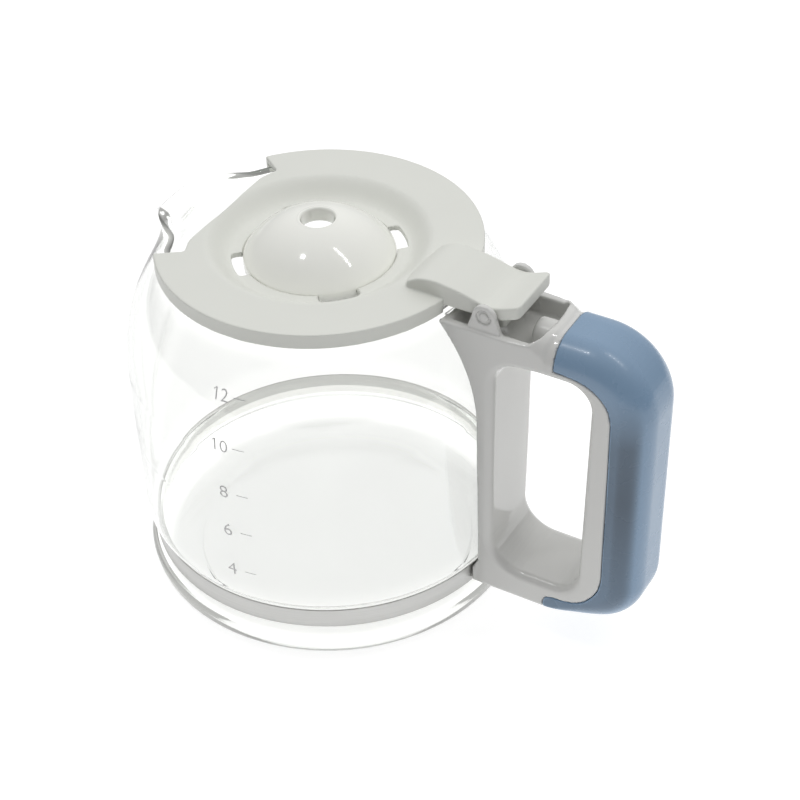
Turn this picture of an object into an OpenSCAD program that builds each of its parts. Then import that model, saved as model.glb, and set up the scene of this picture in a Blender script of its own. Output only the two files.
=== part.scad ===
// Coffee server carafe: a glass jug held in a steel band, a two-part plastic handle
// and a hinged lid with a thumb lever. Millimetres, +Z up, +X towards the handle.
// The origin is the middle of the flat base, on the surface that the jug stands on.

/* [Jug] */
// Largest outside radius of the glass body
body_r = 74; // [66:0.5:84]
// Height of the glass rim above the table
jug_h = 136.2; // [120:0.5:160]
// Thickness of the glass
glass_t = 2.2; // [1.6:0.1:3]
// Thickness of the glass floor
floor_t = 3; // [2:0.1:5]
// How much narrower the glass is at its foot than at its belly
belly = 0.6; // [0.2:0.1:3]
// Rounding between the floor and the wall
heel_r = 12; // [7:0.5:13]
// Radius of the curved shoulder
shoulder_r = 65.5; // [58:0.5:100]
// Height of the curved shoulder
shoulder_h = 42.2; // [30:0.5:50]

/* [Spout] */
// How far the beak stands out from the shoulder
spout_out = 10; // [5:0.2:13]
// Height over which the beak grows out of the shoulder
spout_h = 18.2; // [12:0.2:24]
// Half of the angle that the raised lip spans
spout_angle = 38; // [30:1:38]
// Half of the angle that the beak spans
beak_angle = 25; // [18:1:28]
// How far the lip's flanks rise above the rim
spout_rise = 5.3; // [2:0.1:7]
// How far the beak's tip dips below the flanks
spout_dip = 8.3; // [3:0.1:10]

/* [Steel band] */
// Lower edge of the band
band_z = 16.2; // [15.5:0.1:22]
// Width of the band
band_w = 8.2; // [6.5:0.1:12]
// Thickness of the band
band_t = 0.6; // [0.4:0.1:1]
// Depth of the groove that holds the band
groove_d = 3.2; // [2:0.1:5]

/* [Lid] */
// How far the lid's edge stands out past the edge of the glass rim
lid_over = 1; // [0.2:0.1:2]
// Height of the lid's edge
skirt_h = 5.7; // [4.5:0.1:8]
// Thickness of the lid's plate
plate_t = 2.2; // [1.5:0.1:3]
// Depth of the round moat below the plate
moat_d = 6; // [3.5:0.1:7]
// Outside radius of the dish that leads down to the moat
dish_r = 41.5; // [38:0.5:45]
// Outside radius of the moat's flat floor
moat_r = 32.4; // [32.2:0.1:35]
// Radius of the dome at its foot
dome_r = 27.8; // [25:0.1:28]
// Height of the dome above the moat
dome_h = 15; // [9:0.1:18]
// Radius of the drip hole on top of the dome
drip_r = 6.2; // [5:0.1:8]
// Depth of the collar under the drip hole
drip_h = 6; // [4:0.1:8]
// Radial width of a drain slot
slot_w = 4; // [3:0.1:4.2]
// Half of the angle that a drain slot spans
slot_angle = 14; // [8:1:20]
// Distance from the axis to the straight edge behind the spout
notch_x = 40.3; // [36.5:0.1:42]
// Half of the angle that the spout's cut-out spans
notch_angle = 39; // [37.5:0.5:42]
// Depth of the ring that stands in the mouth, below the lid's edge
plug_h = 4; // [2:0.2:8]

/* [Thumb lever] */
// Width of the lever
lever_w = 25; // [20:0.2:27]
// How far the lever reaches past the hinge axis
lever_reach = 12; // [10:0.2:13]
// Height of the lever's crest above the lid
lever_crest = 6.2; // [4:0.1:8]
// Height of the saddle where the thumb presses, above the lid
lever_saddle = 2.4; // [1.8:0.1:3.5]

/* [Hinge] */
// Distance from the edge of the glass rim to the hinge axis
hinge_out = 16.4; // [15.4:0.1:17.6]
// Radius of the hinge pin
pin_r = 1.75; // [1.2:0.05:2.2]
// Radius of the lugs and of the knuckle
lug_r = 5.2; // [4.4:0.1:5.6]
// Thickness of a lug
lug_t = 2; // [1.5:0.1:2.2]

/* [Handle] */
// Width of the handle
handle_w = 31; // [28:0.2:36]
// Gap for the fingers, from the spine to the grip
finger_w = 37.5; // [28:0.5:48]
// Thickness of the spine behind the glass
spine_t = 3.5; // [2.8:0.1:5]
// Depth of the grip, from the fingers to the palm
grip_d = 20; // [18:0.5:26]
// Height of the upper arm
arm_h = 13.5; // [12.5:0.1:18]
// Height of the lower arm
foot_h = 11.5; // [10.5:0.1:15]
// Outer rounding of the grip's upper corner
corner_top_r = 25; // [20:0.5:30]
// Outer rounding of the grip's lower corner
corner_low_r = 18; // [12:0.5:22]
// Rounding of the handle's outer edges
edge_r = 7; // [3:0.2:9]
// Wall of the handle's mouldings
shell_t = 2.4; // [1.6:0.1:2.8]
// Depth of the side of the coloured grip shell
shell_side = 12; // [9:0.2:13]
// Distance from the hinge axis to the shell's upper seam
seam_out = 26.5; // [25:0.2:28]

/* [Fasteners] */
// Radius of the small screws
screw_r = 1.5; // [1.2:0.05:1.8]
// Radius of the screw heads
head_r = 2.7; // [2.2:0.05:3]
// Height of the screw heads
head_h = 1.8; // [1.2:0.1:2.4]

/* [Hidden] */
$fn = 96;

// Clearances
glass_gap = 0.4;
fit_gap = 0.05;
side_gap = 0.4;
seam_gap = 0.2;
lid_gap = 0.36;
screw_gap = 0.2;
bite = 0.8;

// Glass
foot_r = body_r - belly;
shoulder_z = jug_h - shoulder_h;
shoulder_x = body_r - shoulder_r;
rim_r = shoulder_x + sqrt(pow(shoulder_r, 2) - pow(shoulder_h, 2));
groove_r = foot_r - groove_d;
groove_slope = 2.4;
groove_margin = 0.3;
lip_sink = 0.8;
groove_low = band_z - groove_margin;
groove_high = band_z + band_w + groove_margin;
band_in = groove_r + fit_gap;
band_out = band_in + band_t;
band_mid = band_z + band_w / 2;

// Lid
lid_r = rim_r + lid_over;
lid_low = jug_h + lid_gap;
lid_top = lid_low + skirt_h;
moat_z = lid_top - moat_d;
plug_t = 2;
side_h = 2.8;
plug_gap = 4;
plug_r = rim_r - glass_t - plug_gap;

// Hinge
hinge_x = rim_r + hinge_out;
hinge_drop = 0.9;
hinge_z = lid_top - hinge_drop;
lever_half = lever_w / 2;
nose_gap = 2.5;
lever_start = dish_r + nose_gap;
lug_in = lever_half + side_gap;
lug_out = lug_in + lug_t;
ring_w = 0.9;
ring_d = 0.5;

// Handle
handle_half = handle_w / 2;
finger_x0 = body_r + spine_t;
finger_x1 = finger_x0 + finger_w;
grip_x = finger_x1 + grip_d;
over_rim = 2.8;
handle_top = jug_h + over_rim;
handle_low = band_z - screw_gap;
finger_z0 = handle_low + foot_h;
finger_z1 = handle_top - arm_h;
seam_x = hinge_x + seam_out;
seam_side_x = grip_x - shell_side;
wall_top = jug_h;
wall_in = lug_in;
well_floor = finger_z1 + shell_t;
end_wall = 5.9;
well_end = seam_x - end_wall;
rim_back = 1.5;
cheek_l = 5.4;
frame_start = rim_r - cheek_l;
beyond = 60;
over_floor = 4.2;
screw_z = well_floor + over_floor;

// Points of an arc round [cx, cy], from angle a0 to a1
function arc(cx, cy, r, a0, a1, n = 8) =
    [for (i = [0 : n]) let (a = a0 + (a1 - a0) * i / n) [cx + r * cos(a), cy + r * sin(a)]];

// Smooth step from 0 at a to 1 at b
function ease(a, b, v) = let (t = max(0, min(1, (v - a) / (b - a)))) t * t * (3 - 2 * t);

// Outside radius of the shoulder at height z
function shoulder_at(z, grow = 0) = shoulder_x + sqrt(pow(shoulder_r + grow, 2) - pow(z - shoulder_z, 2));

// Stands an XZ outline up and gives it a width along Y
module across(width) {
    rotate([90, 0, 0]) linear_extrude(height = width, center = true) children();
}

// Section of the handle: u runs outwards to the rounded face, v across the handle
module handle_section(depth, half, r) {
    translate([0, -half]) square([depth - r, 2 * half]);
    translate([0, r - half]) square([depth, 2 * (half - r)]);
    for (s = [-1, 1])
        translate([depth - r, s * (half - r)]) circle(r);
}

// The handle's outer form as one filled block, drawn in by inset on every outer face
module handle_block(inset) {
    half = handle_half - inset;
    r = edge_r - inset;
    top_c = corner_top_r - inset;
    low_c = corner_low_r - inset;
    mid_z = (finger_z0 + finger_z1) / 2;
    overlap = 5;
    top_x = grip_x - corner_top_r;
    top_z = handle_top - corner_top_r;
    low_x = grip_x - corner_low_r;
    low_z = handle_low + corner_low_r;
    translate([top_x, 0, mid_z - overlap])
        rotate([0, -90, 0])
            linear_extrude(height = top_x - frame_start)
                handle_section(handle_top - inset - mid_z + overlap, half, r);
    translate([low_x, 0, mid_z + overlap])
        rotate([0, -90, 0]) rotate([0, 0, 180])
            linear_extrude(height = low_x - frame_start)
                handle_section(mid_z + overlap - handle_low - inset, half, r);
    translate([finger_x1 - overlap, 0, low_z])
        linear_extrude(height = mid_z + overlap - low_z)
            handle_section(grip_x - inset - finger_x1 + overlap, half, r);
    translate([finger_x1 - overlap, 0, top_z])
        mirror([0, 0, 1]) linear_extrude(height = top_z - mid_z + overlap)
            handle_section(grip_x - inset - finger_x1 + overlap, half, r);
    translate([top_x, 0, top_z])
        rotate([90, 0, 0]) rotate_extrude(angle = 90) handle_section(top_c, half, r);
    translate([low_x, 0, low_z])
        rotate([90, 0, 0]) rotate([0, 0, -90]) rotate_extrude(angle = 90) handle_section(low_c, half, r);
}

// Outline of the finger gap, grown outwards by grow
module finger_outline(grow) {
    in_r = 9.5;
    out_r = 13;
    x0 = finger_x0 - grow;
    x1 = finger_x1 + grow;
    z0 = finger_z0 - grow;
    z1 = finger_z1 + grow;
    polygon(concat(
        arc(x0 + in_r + grow, z0 + in_r + grow, in_r + grow, 180, 270),
        arc(x1 - out_r - grow, z0 + out_r + grow, out_r + grow, 270, 360),
        arc(x1 - out_r - grow, z1 - out_r - grow, out_r + grow, 0, 90),
        arc(x0 + in_r + grow, z1 - in_r - grow, in_r + grow, 90, 180)
    ));
}

// Side view of the coloured shell's share of the handle, drawn back by gap
module shell_outline(gap) {
    far = 60;
    top_r = 14.5;
    low_r = 14;
    tongue_l = 15;
    tongue_x = finger_x1 - tongue_l;
    tongue_z = handle_low + 3.3;
    bend_z = finger_z0 - 5.6;
    x = seam_side_x - gap;
    z = finger_z1 + 0.6 - gap;
    polygon(concat(
        [[seam_x - gap, handle_top + far], [seam_x - gap, z]],
        arc(x - top_r, z - top_r, top_r, 90, 0),
        arc(x - low_r, bend_z + low_r + gap, low_r, 0, -90),
        [[tongue_x + 4, tongue_z + 2 + gap], [tongue_x - gap, tongue_z + gap]],
        [[tongue_x - gap, handle_low - far], [grip_x + far, handle_low - far], [grip_x + far, handle_top + far]]
    ));
}

// A screw with its head's underside at the origin and its shank towards -Z
module screw(length) {
    translate([0, 0, -length]) cylinder(r = screw_r, h = length);
    cylinder(r = head_r, h = head_h);
}

// Height of the lip's edge at angle a from the middle of the spout
function lip_z(a) = jug_h - lip_sink + (spout_rise + lip_sink) * (1 - ease(spout_angle / 2, spout_angle, abs(a)))
    - spout_dip * (1 - ease(0, beak_angle * 0.44, abs(a)));

// The spout as one closed form: the shoulder carried up to the lip, with the beak drawn out of
// it. grow moves the shoulder, proud sets how far the flanks stand off it, head reaches above the lip
module spout(grow, proud, head, edge, back_r) {
    levels = 8;
    steps = 24;
    bias = 1.4;
    curl = 4;
    low_z = jug_h - spout_h;
    angles = [for (k = [0 : steps]) let (u = 2 * k / steps - 1) edge * sign(u) * pow(abs(u), bias)];
    n = steps + 1;
    rings = [
        for (i = [0 : levels])
            let (t = 1 - pow(1 - min(i / (levels - 1), 1), bias), lift = i == levels ? head : 0)
            let (rim = [
                for (a = angles)
                    let (z = low_z + t * (lip_z(a) - low_z))
                    let (stand = (lip_sink + proud) * (1 - ease(edge - 10, edge - 3, abs(a))) * ease(0.5, 0.8, t))
                    let (push = spout_out * (1 - ease(beak_angle * 0.36, beak_angle, abs(a))) * pow(t, curl))
                    [a, shoulder_at(z, grow) - lip_sink + stand + push, z + lift]
            ])
            concat(
                [for (p = rim) [-p[1] * cos(p[0]), -p[1] * sin(p[0]), p[2]]],
                [for (k = [steps : -1 : 0]) let (p = rim[k]) [-back_r * cos(p[0]), -back_r * sin(p[0]), p[2]]]
            )
    ];
    sides = [
        for (i = [0 : levels - 1])
            for (k = [0 : 2 * n - 1])
                let (a = 2 * n * i + k, b = 2 * n * i + (k + 1) % (2 * n))
                for (f = [[a, a + 2 * n, b], [b, a + 2 * n, b + 2 * n]]) f
    ];
    top = 2 * n * levels;
    polyhedron(
        points = [for (ring = rings) for (p = ring) p],
        faces = concat(
            sides,
            [[for (k = [0 : 2 * n - 1]) k]],
            [for (k = [0 : steps - 1])
                let (a = top + k, b = top + 2 * n - 1 - k)
                for (f = [[a, b, a + 1], [a + 1, b, b - 1]]) f]
        )
    );
}

module glass_outside() {
    angle = asin(shoulder_h / shoulder_r);
    polygon(concat(
        [[0, 0]],
        arc(foot_r - heel_r, heel_r, heel_r, -90, 0),
        [[foot_r, groove_low - groove_slope], [groove_r, groove_low]],
        [[groove_r, groove_high], [foot_r, groove_high + groove_slope]],
        [[body_r, (groove_high + shoulder_z) / 2]],
        arc(shoulder_x, shoulder_z, shoulder_r, 0, angle, 14),
        [[0, jug_h]]
    ));
}

module glass_inside() {
    inner_r = shoulder_r - glass_t;
    top_h = shoulder_h + spout_rise + glass_t;
    angle = asin(top_h / inner_r);
    polygon(concat(
        [[0, floor_t]],
        arc(foot_r - heel_r, floor_t + heel_r - glass_t, heel_r - glass_t, -90, 0),
        [[groove_r - glass_t, groove_low + floor_t - glass_t]],
        [[groove_r - glass_t, groove_high], [foot_r - glass_t, groove_high + groove_slope]],
        [[body_r - glass_t, (groove_high + shoulder_z) / 2]],
        arc(shoulder_x, shoulder_z, inner_r, 0, angle, 18),
        [[0, shoulder_z + top_h]]
    ));
}

module glass_jug() {
    color([0.85, 0.93, 0.91, 0.45])
        difference() {
            union() {
                rotate_extrude() glass_outside();
                spout(0, 0.3, 0.4, spout_angle + 4, rim_r / 2);
            }
            rotate_extrude() glass_inside();
            spout(-glass_t, -lip_sink, 12, spout_angle + 3, rim_r / 3);
        }
}

// Ears of the band: two straight tongues that reach through the spine
ear_y = 4.4;
ear_h = 5;
ear_end = body_r + 10.5;
anchor_x = ear_end - 3.5;
anchor_half = 2.8;
anchor_r = 1.4;
bulkhead_x = ear_end + 4;
bulkhead_t = 2.2;
washer_t = 0.8;
washer_r = 3.2;
washer_gap = 0.3;

module clamp_band() {
    color("silver") {
        difference() {
            union() {
                difference() {
                    translate([0, 0, band_z]) cylinder(r = band_out, h = band_w);
                    translate([0, 0, band_z - 1]) cylinder(r = band_in, h = band_w + 2);
                    translate([0, -ear_y, band_z - 1]) cube([2 * body_r, 2 * ear_y, band_w + 2]);
                }
                for (s = [0, 1]) mirror([0, s, 0])
                    translate([band_in - 0.1, ear_y, band_mid - ear_h / 2])
                        cube([ear_end - band_in, band_t, ear_h]);
            }
            translate([anchor_x, 0, band_mid])
                rotate([90, 0, 0]) cylinder(r = anchor_r + fit_gap, h = 4 * ear_y, center = true);
        }
    }
}

module band_anchor() {
    color("gray")
        difference() {
            union() {
                translate([anchor_x - anchor_half, fit_gap - ear_y, band_mid - ear_h / 2])
                    cube([2 * anchor_half, 2 * (ear_y - fit_gap), ear_h]);
                translate([anchor_x, 0, band_mid])
                    rotate([90, 0, 0]) cylinder(r = anchor_r, h = 2 * (ear_y + band_t), center = true);
            }
            translate([anchor_x, 0, band_mid])
                rotate([0, 90, 0]) cylinder(r = screw_r + fit_gap, h = 4 * anchor_half, center = true);
        }
}

module band_washer() {
    color("silver")
        translate([bulkhead_x + bulkhead_t, 0, band_mid])
            rotate([0, 90, 0])
                difference() {
                    cylinder(r = washer_r, h = washer_t);
                    translate([0, 0, -1]) cylinder(r = screw_r + screw_gap, h = washer_t + 2);
                }
}

module band_screw() {
    color("gray")
        translate([bulkhead_x + bulkhead_t + washer_t, 0, band_mid])
            rotate([0, 90, 0]) screw(bulkhead_x + bulkhead_t + washer_t - anchor_x + anchor_half);
}

// Room that the glass and the band need inside the handle
module glass_room(grow) {
    top = 40;
    angle = asin(shoulder_h / (shoulder_r + grow));
    rotate_extrude()
        polygon(concat(
            [[0, -1], [band_out + 0.25 + grow - glass_gap, -1]],
            [[band_out + 0.25 + grow - glass_gap, groove_high - groove_margin - 0.4]],
            [[foot_r + grow, groove_high + groove_slope + grow]],
            [[body_r + grow, (groove_high + shoulder_z) / 2]],
            arc(shoulder_x, shoulder_z, shoulder_r + grow, 0, angle, 14),
            [[rim_r + grow, jug_h + top], [0, jug_h + top]]
        ));
}

// Places of the screws that hold the grip shell
low_boss_back = 13.5;
low_boss_x = seam_side_x - low_boss_back;
low_boss_y = 7.5;
low_screw_l = 7;
low_boss_gap = 4;
low_head_in = 2;
top_screw_l = 15;
spigot_l = 8;
boss_r = 3.4;
top_boss_h = 4;
top_head_x = well_end - top_boss_h;

module grip_screws() {
    color("gray") {
        translate([top_head_x, 0, screw_z])
            rotate([0, -90, 0]) screw(seam_x - top_head_x + top_screw_l);
        for (s = [-1, 1])
            translate([low_boss_x, s * low_boss_y, handle_low + low_head_in])
                rotate([180, 0, 0]) screw(low_screw_l);
    }
}

module lug_pair() {
    for (s = [0, 1]) mirror([0, s, 0])
        translate([hinge_x, lug_out, 0]) rotate([90, 0, 0])
            linear_extrude(height = lug_t) {
                translate([0, hinge_z]) circle(lug_r);
                translate([-lug_r, well_floor]) square([2 * lug_r, hinge_z - well_floor]);
            }
}

// The thumb well: the open channel on top of the upper arm, under the lever
module thumb_well() {
    difference() {
        translate([0, -wall_in, well_floor]) cube([well_end, 2 * wall_in, beyond]);
        glass_room(glass_gap + shell_t);
    }
    translate([0, -handle_w, wall_top]) cube([well_end - rim_back, 2 * handle_w, beyond]);
}

// The hollow of the grip, behind the liner
module grip_hollow() {
    difference() {
        translate([seam_x + spigot_l, shell_t - handle_half, handle_low + shell_t])
            cube([grip_x - seam_x, handle_w - 2 * shell_t, jug_h]);
        across(handle_w) finger_outline(shell_t);
    }
}

module handle_frame() {
    anchor_room = ear_y + band_t + 0.6;
    room_h = ear_h + 1.2;
    color("white") {
        difference() {
            union() {
                difference() {
                    handle_block(0);
                    across(handle_w + 2) shell_outline(seam_gap);
                    thumb_well();
                    grip_hollow();
                }
                lug_pair();
                clip_boss();
                translate([top_head_x, 0, screw_z]) rotate([0, 90, 0]) cylinder(r = boss_r + 0.8, h = top_boss_h + 1);
                spigot();
                low_bosses();
            }
            glass_room(glass_gap);
            across(handle_w + 2) finger_outline(0);
            translate([groove_r - 2, -anchor_room, band_mid - room_h / 2])
                cube([bulkhead_x - groove_r + 2, 2 * anchor_room, room_h]);
            translate([bulkhead_x + bulkhead_t, 0, band_mid])
                rotate([0, 90, 0]) cylinder(r = washer_r + washer_gap, h = beyond);
            translate([bulkhead_x - 1, 0, band_mid])
                rotate([0, 90, 0]) cylinder(r = screw_r + screw_gap, h = bulkhead_t + 2);
            translate([hinge_x, 0, hinge_z])
                rotate([90, 0, 0]) cylinder(r = pin_r + fit_gap, h = 2 * handle_w, center = true);
            for (s = [-1, 1])
                translate([hinge_x, s * lug_out, hinge_z])
                    rotate([90, 0, 0]) cylinder(r = pin_r + ring_w, h = 2 * ring_d, center = true);
            translate([top_head_x - 1, 0, screw_z])
                rotate([0, 90, 0]) cylinder(r = screw_r + screw_gap, h = beyond);
            translate([clip_x, 0, clip_z - clip_screw_l]) cylinder(r = screw_r + fit_gap, h = beyond);
            for (s = [-1, 1])
                translate([low_boss_x, s * low_boss_y, handle_low])
                    cylinder(r = screw_r + fit_gap, h = low_head_in + low_screw_l + screw_gap);
        }
    }
}

// Plug on the end of the upper arm, which the shell slides over
module spigot() {
    half = handle_half - shell_t - seam_gap;
    translate([seam_x - 1, -half + 4, well_floor - 1])
        cube([spigot_l, 2 * half - 8, handle_top - shell_t - seam_gap - well_floor]);
}

module low_bosses() {
    for (s = [-1, 1])
        translate([low_boss_x, s * low_boss_y, handle_low + low_boss_gap])
            cylinder(r = boss_r, h = foot_h - low_boss_gap - bite);
}

// Rim clip: a steel hook over the glass rim, screwed to a boss in the thumb well
clip_t = 1;
clip_half = 6;
clip_out = 6.4;
clip_x = rim_r + clip_out;
clip_z = jug_h + glass_gap;
clip_in = 3.2;
clip_leg_x = rim_r - glass_t - clip_in;
clip_screw_l = 5.5;
clip_tail = 2.9;
clip_leg = 6;

module clip_boss() {
    translate([clip_x, 0, finger_z1 + bite])
        cylinder(r = 2 * screw_r, h = clip_z - finger_z1 - bite);
}

module rim_clip() {
    color("silver")
        difference() {
            union() {
                translate([clip_leg_x, -clip_half, clip_z])
                    cube([clip_x + clip_tail - clip_leg_x, 2 * clip_half, clip_t]);
                translate([clip_leg_x, -clip_half, clip_z - clip_leg])
                    cube([clip_t, 2 * clip_half, clip_leg + clip_t]);
            }
            translate([clip_x, 0, clip_z - 1]) cylinder(r = screw_r + screw_gap, h = clip_t + 2);
        }
}

module rim_clip_screw() {
    color("gray") translate([clip_x, 0, clip_z + clip_t]) screw(clip_screw_l);
}

module grip_shell() {
    boss_x = seam_x + spigot_l + bite;
    boss_l = 6;
    web_t = 2.4;
    color("lightsteelblue")
        difference() {
            union() {
                intersection() {
                    difference() {
                        handle_block(0);
                        handle_block(shell_t);
                    }
                    across(handle_w + 2) shell_outline(0);
                }
                translate([boss_x, 0, screw_z]) rotate([0, 90, 0]) cylinder(r = boss_r, h = boss_l);
                translate([boss_x, -web_t / 2, screw_z])
                    cube([boss_l, web_t, handle_top - shell_t + bite - screw_z]);
                for (s = [-1, 1])
                    translate([low_boss_x, s * low_boss_y, handle_low + bite])
                        cylinder(r = boss_r + 1, h = low_boss_gap - seam_gap - bite);
            }
            translate([seam_x, 0, screw_z]) rotate([0, 90, 0]) cylinder(r = screw_r + fit_gap, h = 2 * top_screw_l);
            for (s = [-1, 1]) translate([low_boss_x, s * low_boss_y, handle_low - 1]) {
                cylinder(r = screw_r + screw_gap, h = foot_h);
                cylinder(r = head_r + screw_gap, h = low_head_in + 1);
            }
        }
}

module hinge_pin() {
    color("white")
        translate([hinge_x, 0, hinge_z])
            rotate([90, 0, 0]) cylinder(r = pin_r, h = 2 * (lug_out - 0.15), center = true);
}

// Half section of the lid's plate: flat rim, dish and moat, with its skirt
module lid_section() {
    hole = dome_r + 0.2;
    polygon([
        [hole, moat_z - plate_t], [moat_r + 1, moat_z - plate_t], [dish_r + 1, lid_top - plate_t],
        [lid_r - plate_t, lid_top - plate_t], [lid_r - plate_t, lid_low],
        [lid_r, lid_low], [lid_r, lid_top - 0.6], [lid_r - 0.6, lid_top], [dish_r, lid_top],
        [dish_r - 3, lid_top - 0.8], [moat_r + 2, moat_z + 0.9], [moat_r, moat_z], [hole, moat_z]
    ]);
}

// Plan of the cut-out behind the spout, moved outwards by grow
module notch_plan(grow) {
    corner_r = lid_r - 11;
    far = 2 * lid_r;
    corner = [-corner_r * cos(notch_angle) - grow, corner_r * sin(notch_angle)];
    bend_y = corner[1] - 6.5;
    polygon([
        [-notch_x - grow, -bend_y], [corner[0], -corner[1]], [-far * cos(notch_angle), -far * sin(notch_angle)],
        [-far * cos(notch_angle), far * sin(notch_angle)], corner, [-notch_x - grow, bend_y]
    ]);
}

// Side view of the thumb lever's top skin, from its nose on the plate to its tip
function lever_top() = [
    [lever_start - 4, lid_top - 1], [lever_start + 0.3, lid_top + lever_crest * 0.5],
    [lever_start + 4.2, lid_top + lever_crest * 0.88], [lever_start + 9.7, lid_top + lever_crest],
    [lever_start + 14.6, lid_top + lever_crest * 0.9], [hinge_x - 10, lid_top + lever_crest * 0.76],
    [hinge_x - 3.5, lid_top + lever_saddle + 0.6], [hinge_x + 0.9, lid_top + lever_saddle],
    [hinge_x + 5, lid_top + lever_saddle + 0.7], [hinge_x + lever_reach * 0.8, lid_top + lever_saddle + 2.3],
    [hinge_x + lever_reach, lid_top + lever_saddle + 3.1]
];

module lever_plan() {
    nose_r = 27;
    tip_r = 3.5;
    tip_x = hinge_x + lever_reach;
    nose_x = lever_start - 3;
    intersection() {
        translate([nose_x + nose_r, 0]) circle(nose_r);
        translate([nose_x, -lever_half]) square([nose_r, lever_w]);
    }
    translate([nose_x + nose_r / 2, -lever_half]) square([tip_x - tip_r - nose_x - nose_r / 2, lever_w]);
    translate([tip_x - 2 * tip_r, tip_r - lever_half]) square([2 * tip_r, lever_w - 2 * tip_r]);
    for (s = [-1, 1])
        translate([tip_x - tip_r, s * (lever_half - tip_r)]) circle(tip_r);
}

module lever() {
    top = lever_top();
    side_low = lid_top - side_h;
    tip_low = lid_top + lever_saddle - 1.1;
    tip_x = hinge_x + lever_reach;
    intersection() {
        union() {
            across(lever_w)
                polygon(concat(top, [[tip_x, tip_low], [hinge_x + 7, lid_top - 0.6], [lever_start - 4, lid_top - 2]]));
            for (s = [0, 1]) mirror([0, s, 0])
                translate([0, lever_half, 0]) rotate([90, 0, 0])
                    linear_extrude(height = plate_t)
                        polygon(concat(top, [
                            [hinge_x + 7, lid_top - 0.6], [hinge_x, side_low], [lid_r - 2, side_low], [lever_start, lid_top - 2]
                        ]));
        }
        translate([0, 0, lid_low - 10]) linear_extrude(height = beyond) lever_plan();
    }
}

// Knuckle between the lugs, with a heel that fills the well under the lever
module knuckle() {
    across(lever_w) {
        translate([hinge_x, hinge_z]) circle(lug_r);
        polygon([
            [hinge_x, hinge_z - lug_r], [hinge_x + 5, hinge_z - 6.6], [hinge_x + lever_reach - 1, hinge_z - 4.4],
            [hinge_x + lever_reach - 2, lid_top + 1], [hinge_x - lug_r + 1, lid_top + 1], [hinge_x - lug_r, hinge_z]
        ]);
    }
}

module lid_plate() {
    slots = 4;
    slot_mid = dome_r + 0.2 + slot_w / 2;
    color("gainsboro")
        difference() {
            union() {
                difference() {
                    union() {
                        rotate_extrude() lid_section();
                        difference() {
                            translate([0, 0, lid_low - plug_h]) cylinder(r = plug_r, h = plug_h + skirt_h - plate_t + 0.2);
                            translate([0, 0, lid_low - plug_h - 1]) cylinder(r = plug_r - plug_t, h = plug_h + skirt_h + 2);
                        }
                        intersection() {
                            translate([0, 0, lid_low]) linear_extrude(height = skirt_h - plate_t + 0.1) notch_plan(-plate_t);
                            translate([0, 0, lid_low - 1]) cylinder(r = lid_r - 0.5, h = skirt_h);
                        }
                    }
                    translate([0, 0, lid_low - beyond / 2]) linear_extrude(height = beyond) notch_plan(0);
                    translate([lever_start + 3, plate_t - lever_half, lid_top - plate_t - beyond])
                        cube([beyond, lever_w - 2 * plate_t, beyond]);
                    translate([plug_r - 8, -lever_half, lid_top - side_h - beyond])
                        cube([beyond, lever_w, beyond]);
                }
                lever();
                knuckle();
            }
            translate([hinge_x, 0, hinge_z])
                rotate([90, 0, 0]) cylinder(r = pin_r + fit_gap, h = lever_w + 2, center = true);
            for (k = [0 : slots - 1])
                rotate([0, 0, 45 + k * 360 / slots - slot_angle])
                    translate([0, 0, moat_z - 8])
                        rotate_extrude(angle = 2 * slot_angle)
                            translate([slot_mid - slot_w / 2 - 0.4, 0]) square([slot_w + 0.4, 12]);
        }
}

module lid_dome() {
    ball_r = (pow(dome_r, 2) + pow(dome_h, 2)) / (2 * dome_h);
    ball_z = moat_z + dome_h - ball_r;
    wall = 2;
    skirt = plate_t + 2;
    collar_top = ball_z + sqrt(pow(ball_r, 2) - pow(drip_r, 2));
    tab_h = 1.4;
    color("whitesmoke")
        union() {
            difference() {
                union() {
                    intersection() {
                        translate([0, 0, ball_z]) sphere(ball_r);
                        translate([0, 0, moat_z]) cylinder(r = dome_r, h = 2 * dome_h);
                    }
                    translate([0, 0, moat_z - skirt]) cylinder(r = dome_r, h = skirt + 0.1);
                }
                difference() {
                    union() {
                        intersection() {
                            translate([0, 0, ball_z]) sphere(ball_r - wall);
                            translate([0, 0, moat_z - 0.1]) cylinder(r = dome_r - wall, h = 2 * dome_h);
                        }
                        translate([0, 0, moat_z - skirt - 1]) cylinder(r = dome_r - wall, h = skirt + 1);
                    }
                    translate([0, 0, collar_top - drip_h]) cylinder(r = drip_r + wall, h = 2 * drip_h);
                }
                translate([0, 0, moat_z - dome_h]) cylinder(r = drip_r, h = beyond);
            }
            for (k = [0 : 3])
                rotate([0, 0, k * 90 - 12])
                    translate([0, 0, moat_z - skirt])
                        rotate_extrude(angle = 24)
                            translate([dome_r - 0.5, 0]) square([2.4, tab_h]);
        }
}

glass_jug();
clamp_band();
band_anchor();
band_screw();
band_washer();
handle_frame();
rim_clip();
rim_clip_screw();
grip_shell();
grip_screws();
hinge_pin();
lid_plate();
lid_dome();
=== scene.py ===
"""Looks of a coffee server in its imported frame: clear jug, steel band, two-tone handle and hinged lid."""

import logging
import math
from dataclasses import dataclass
from enum import Enum
from itertools import product
from typing import Any, Callable, Sequence

import bmesh
import bpy
import numpy as np
from mathutils import Matrix, Vector


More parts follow.
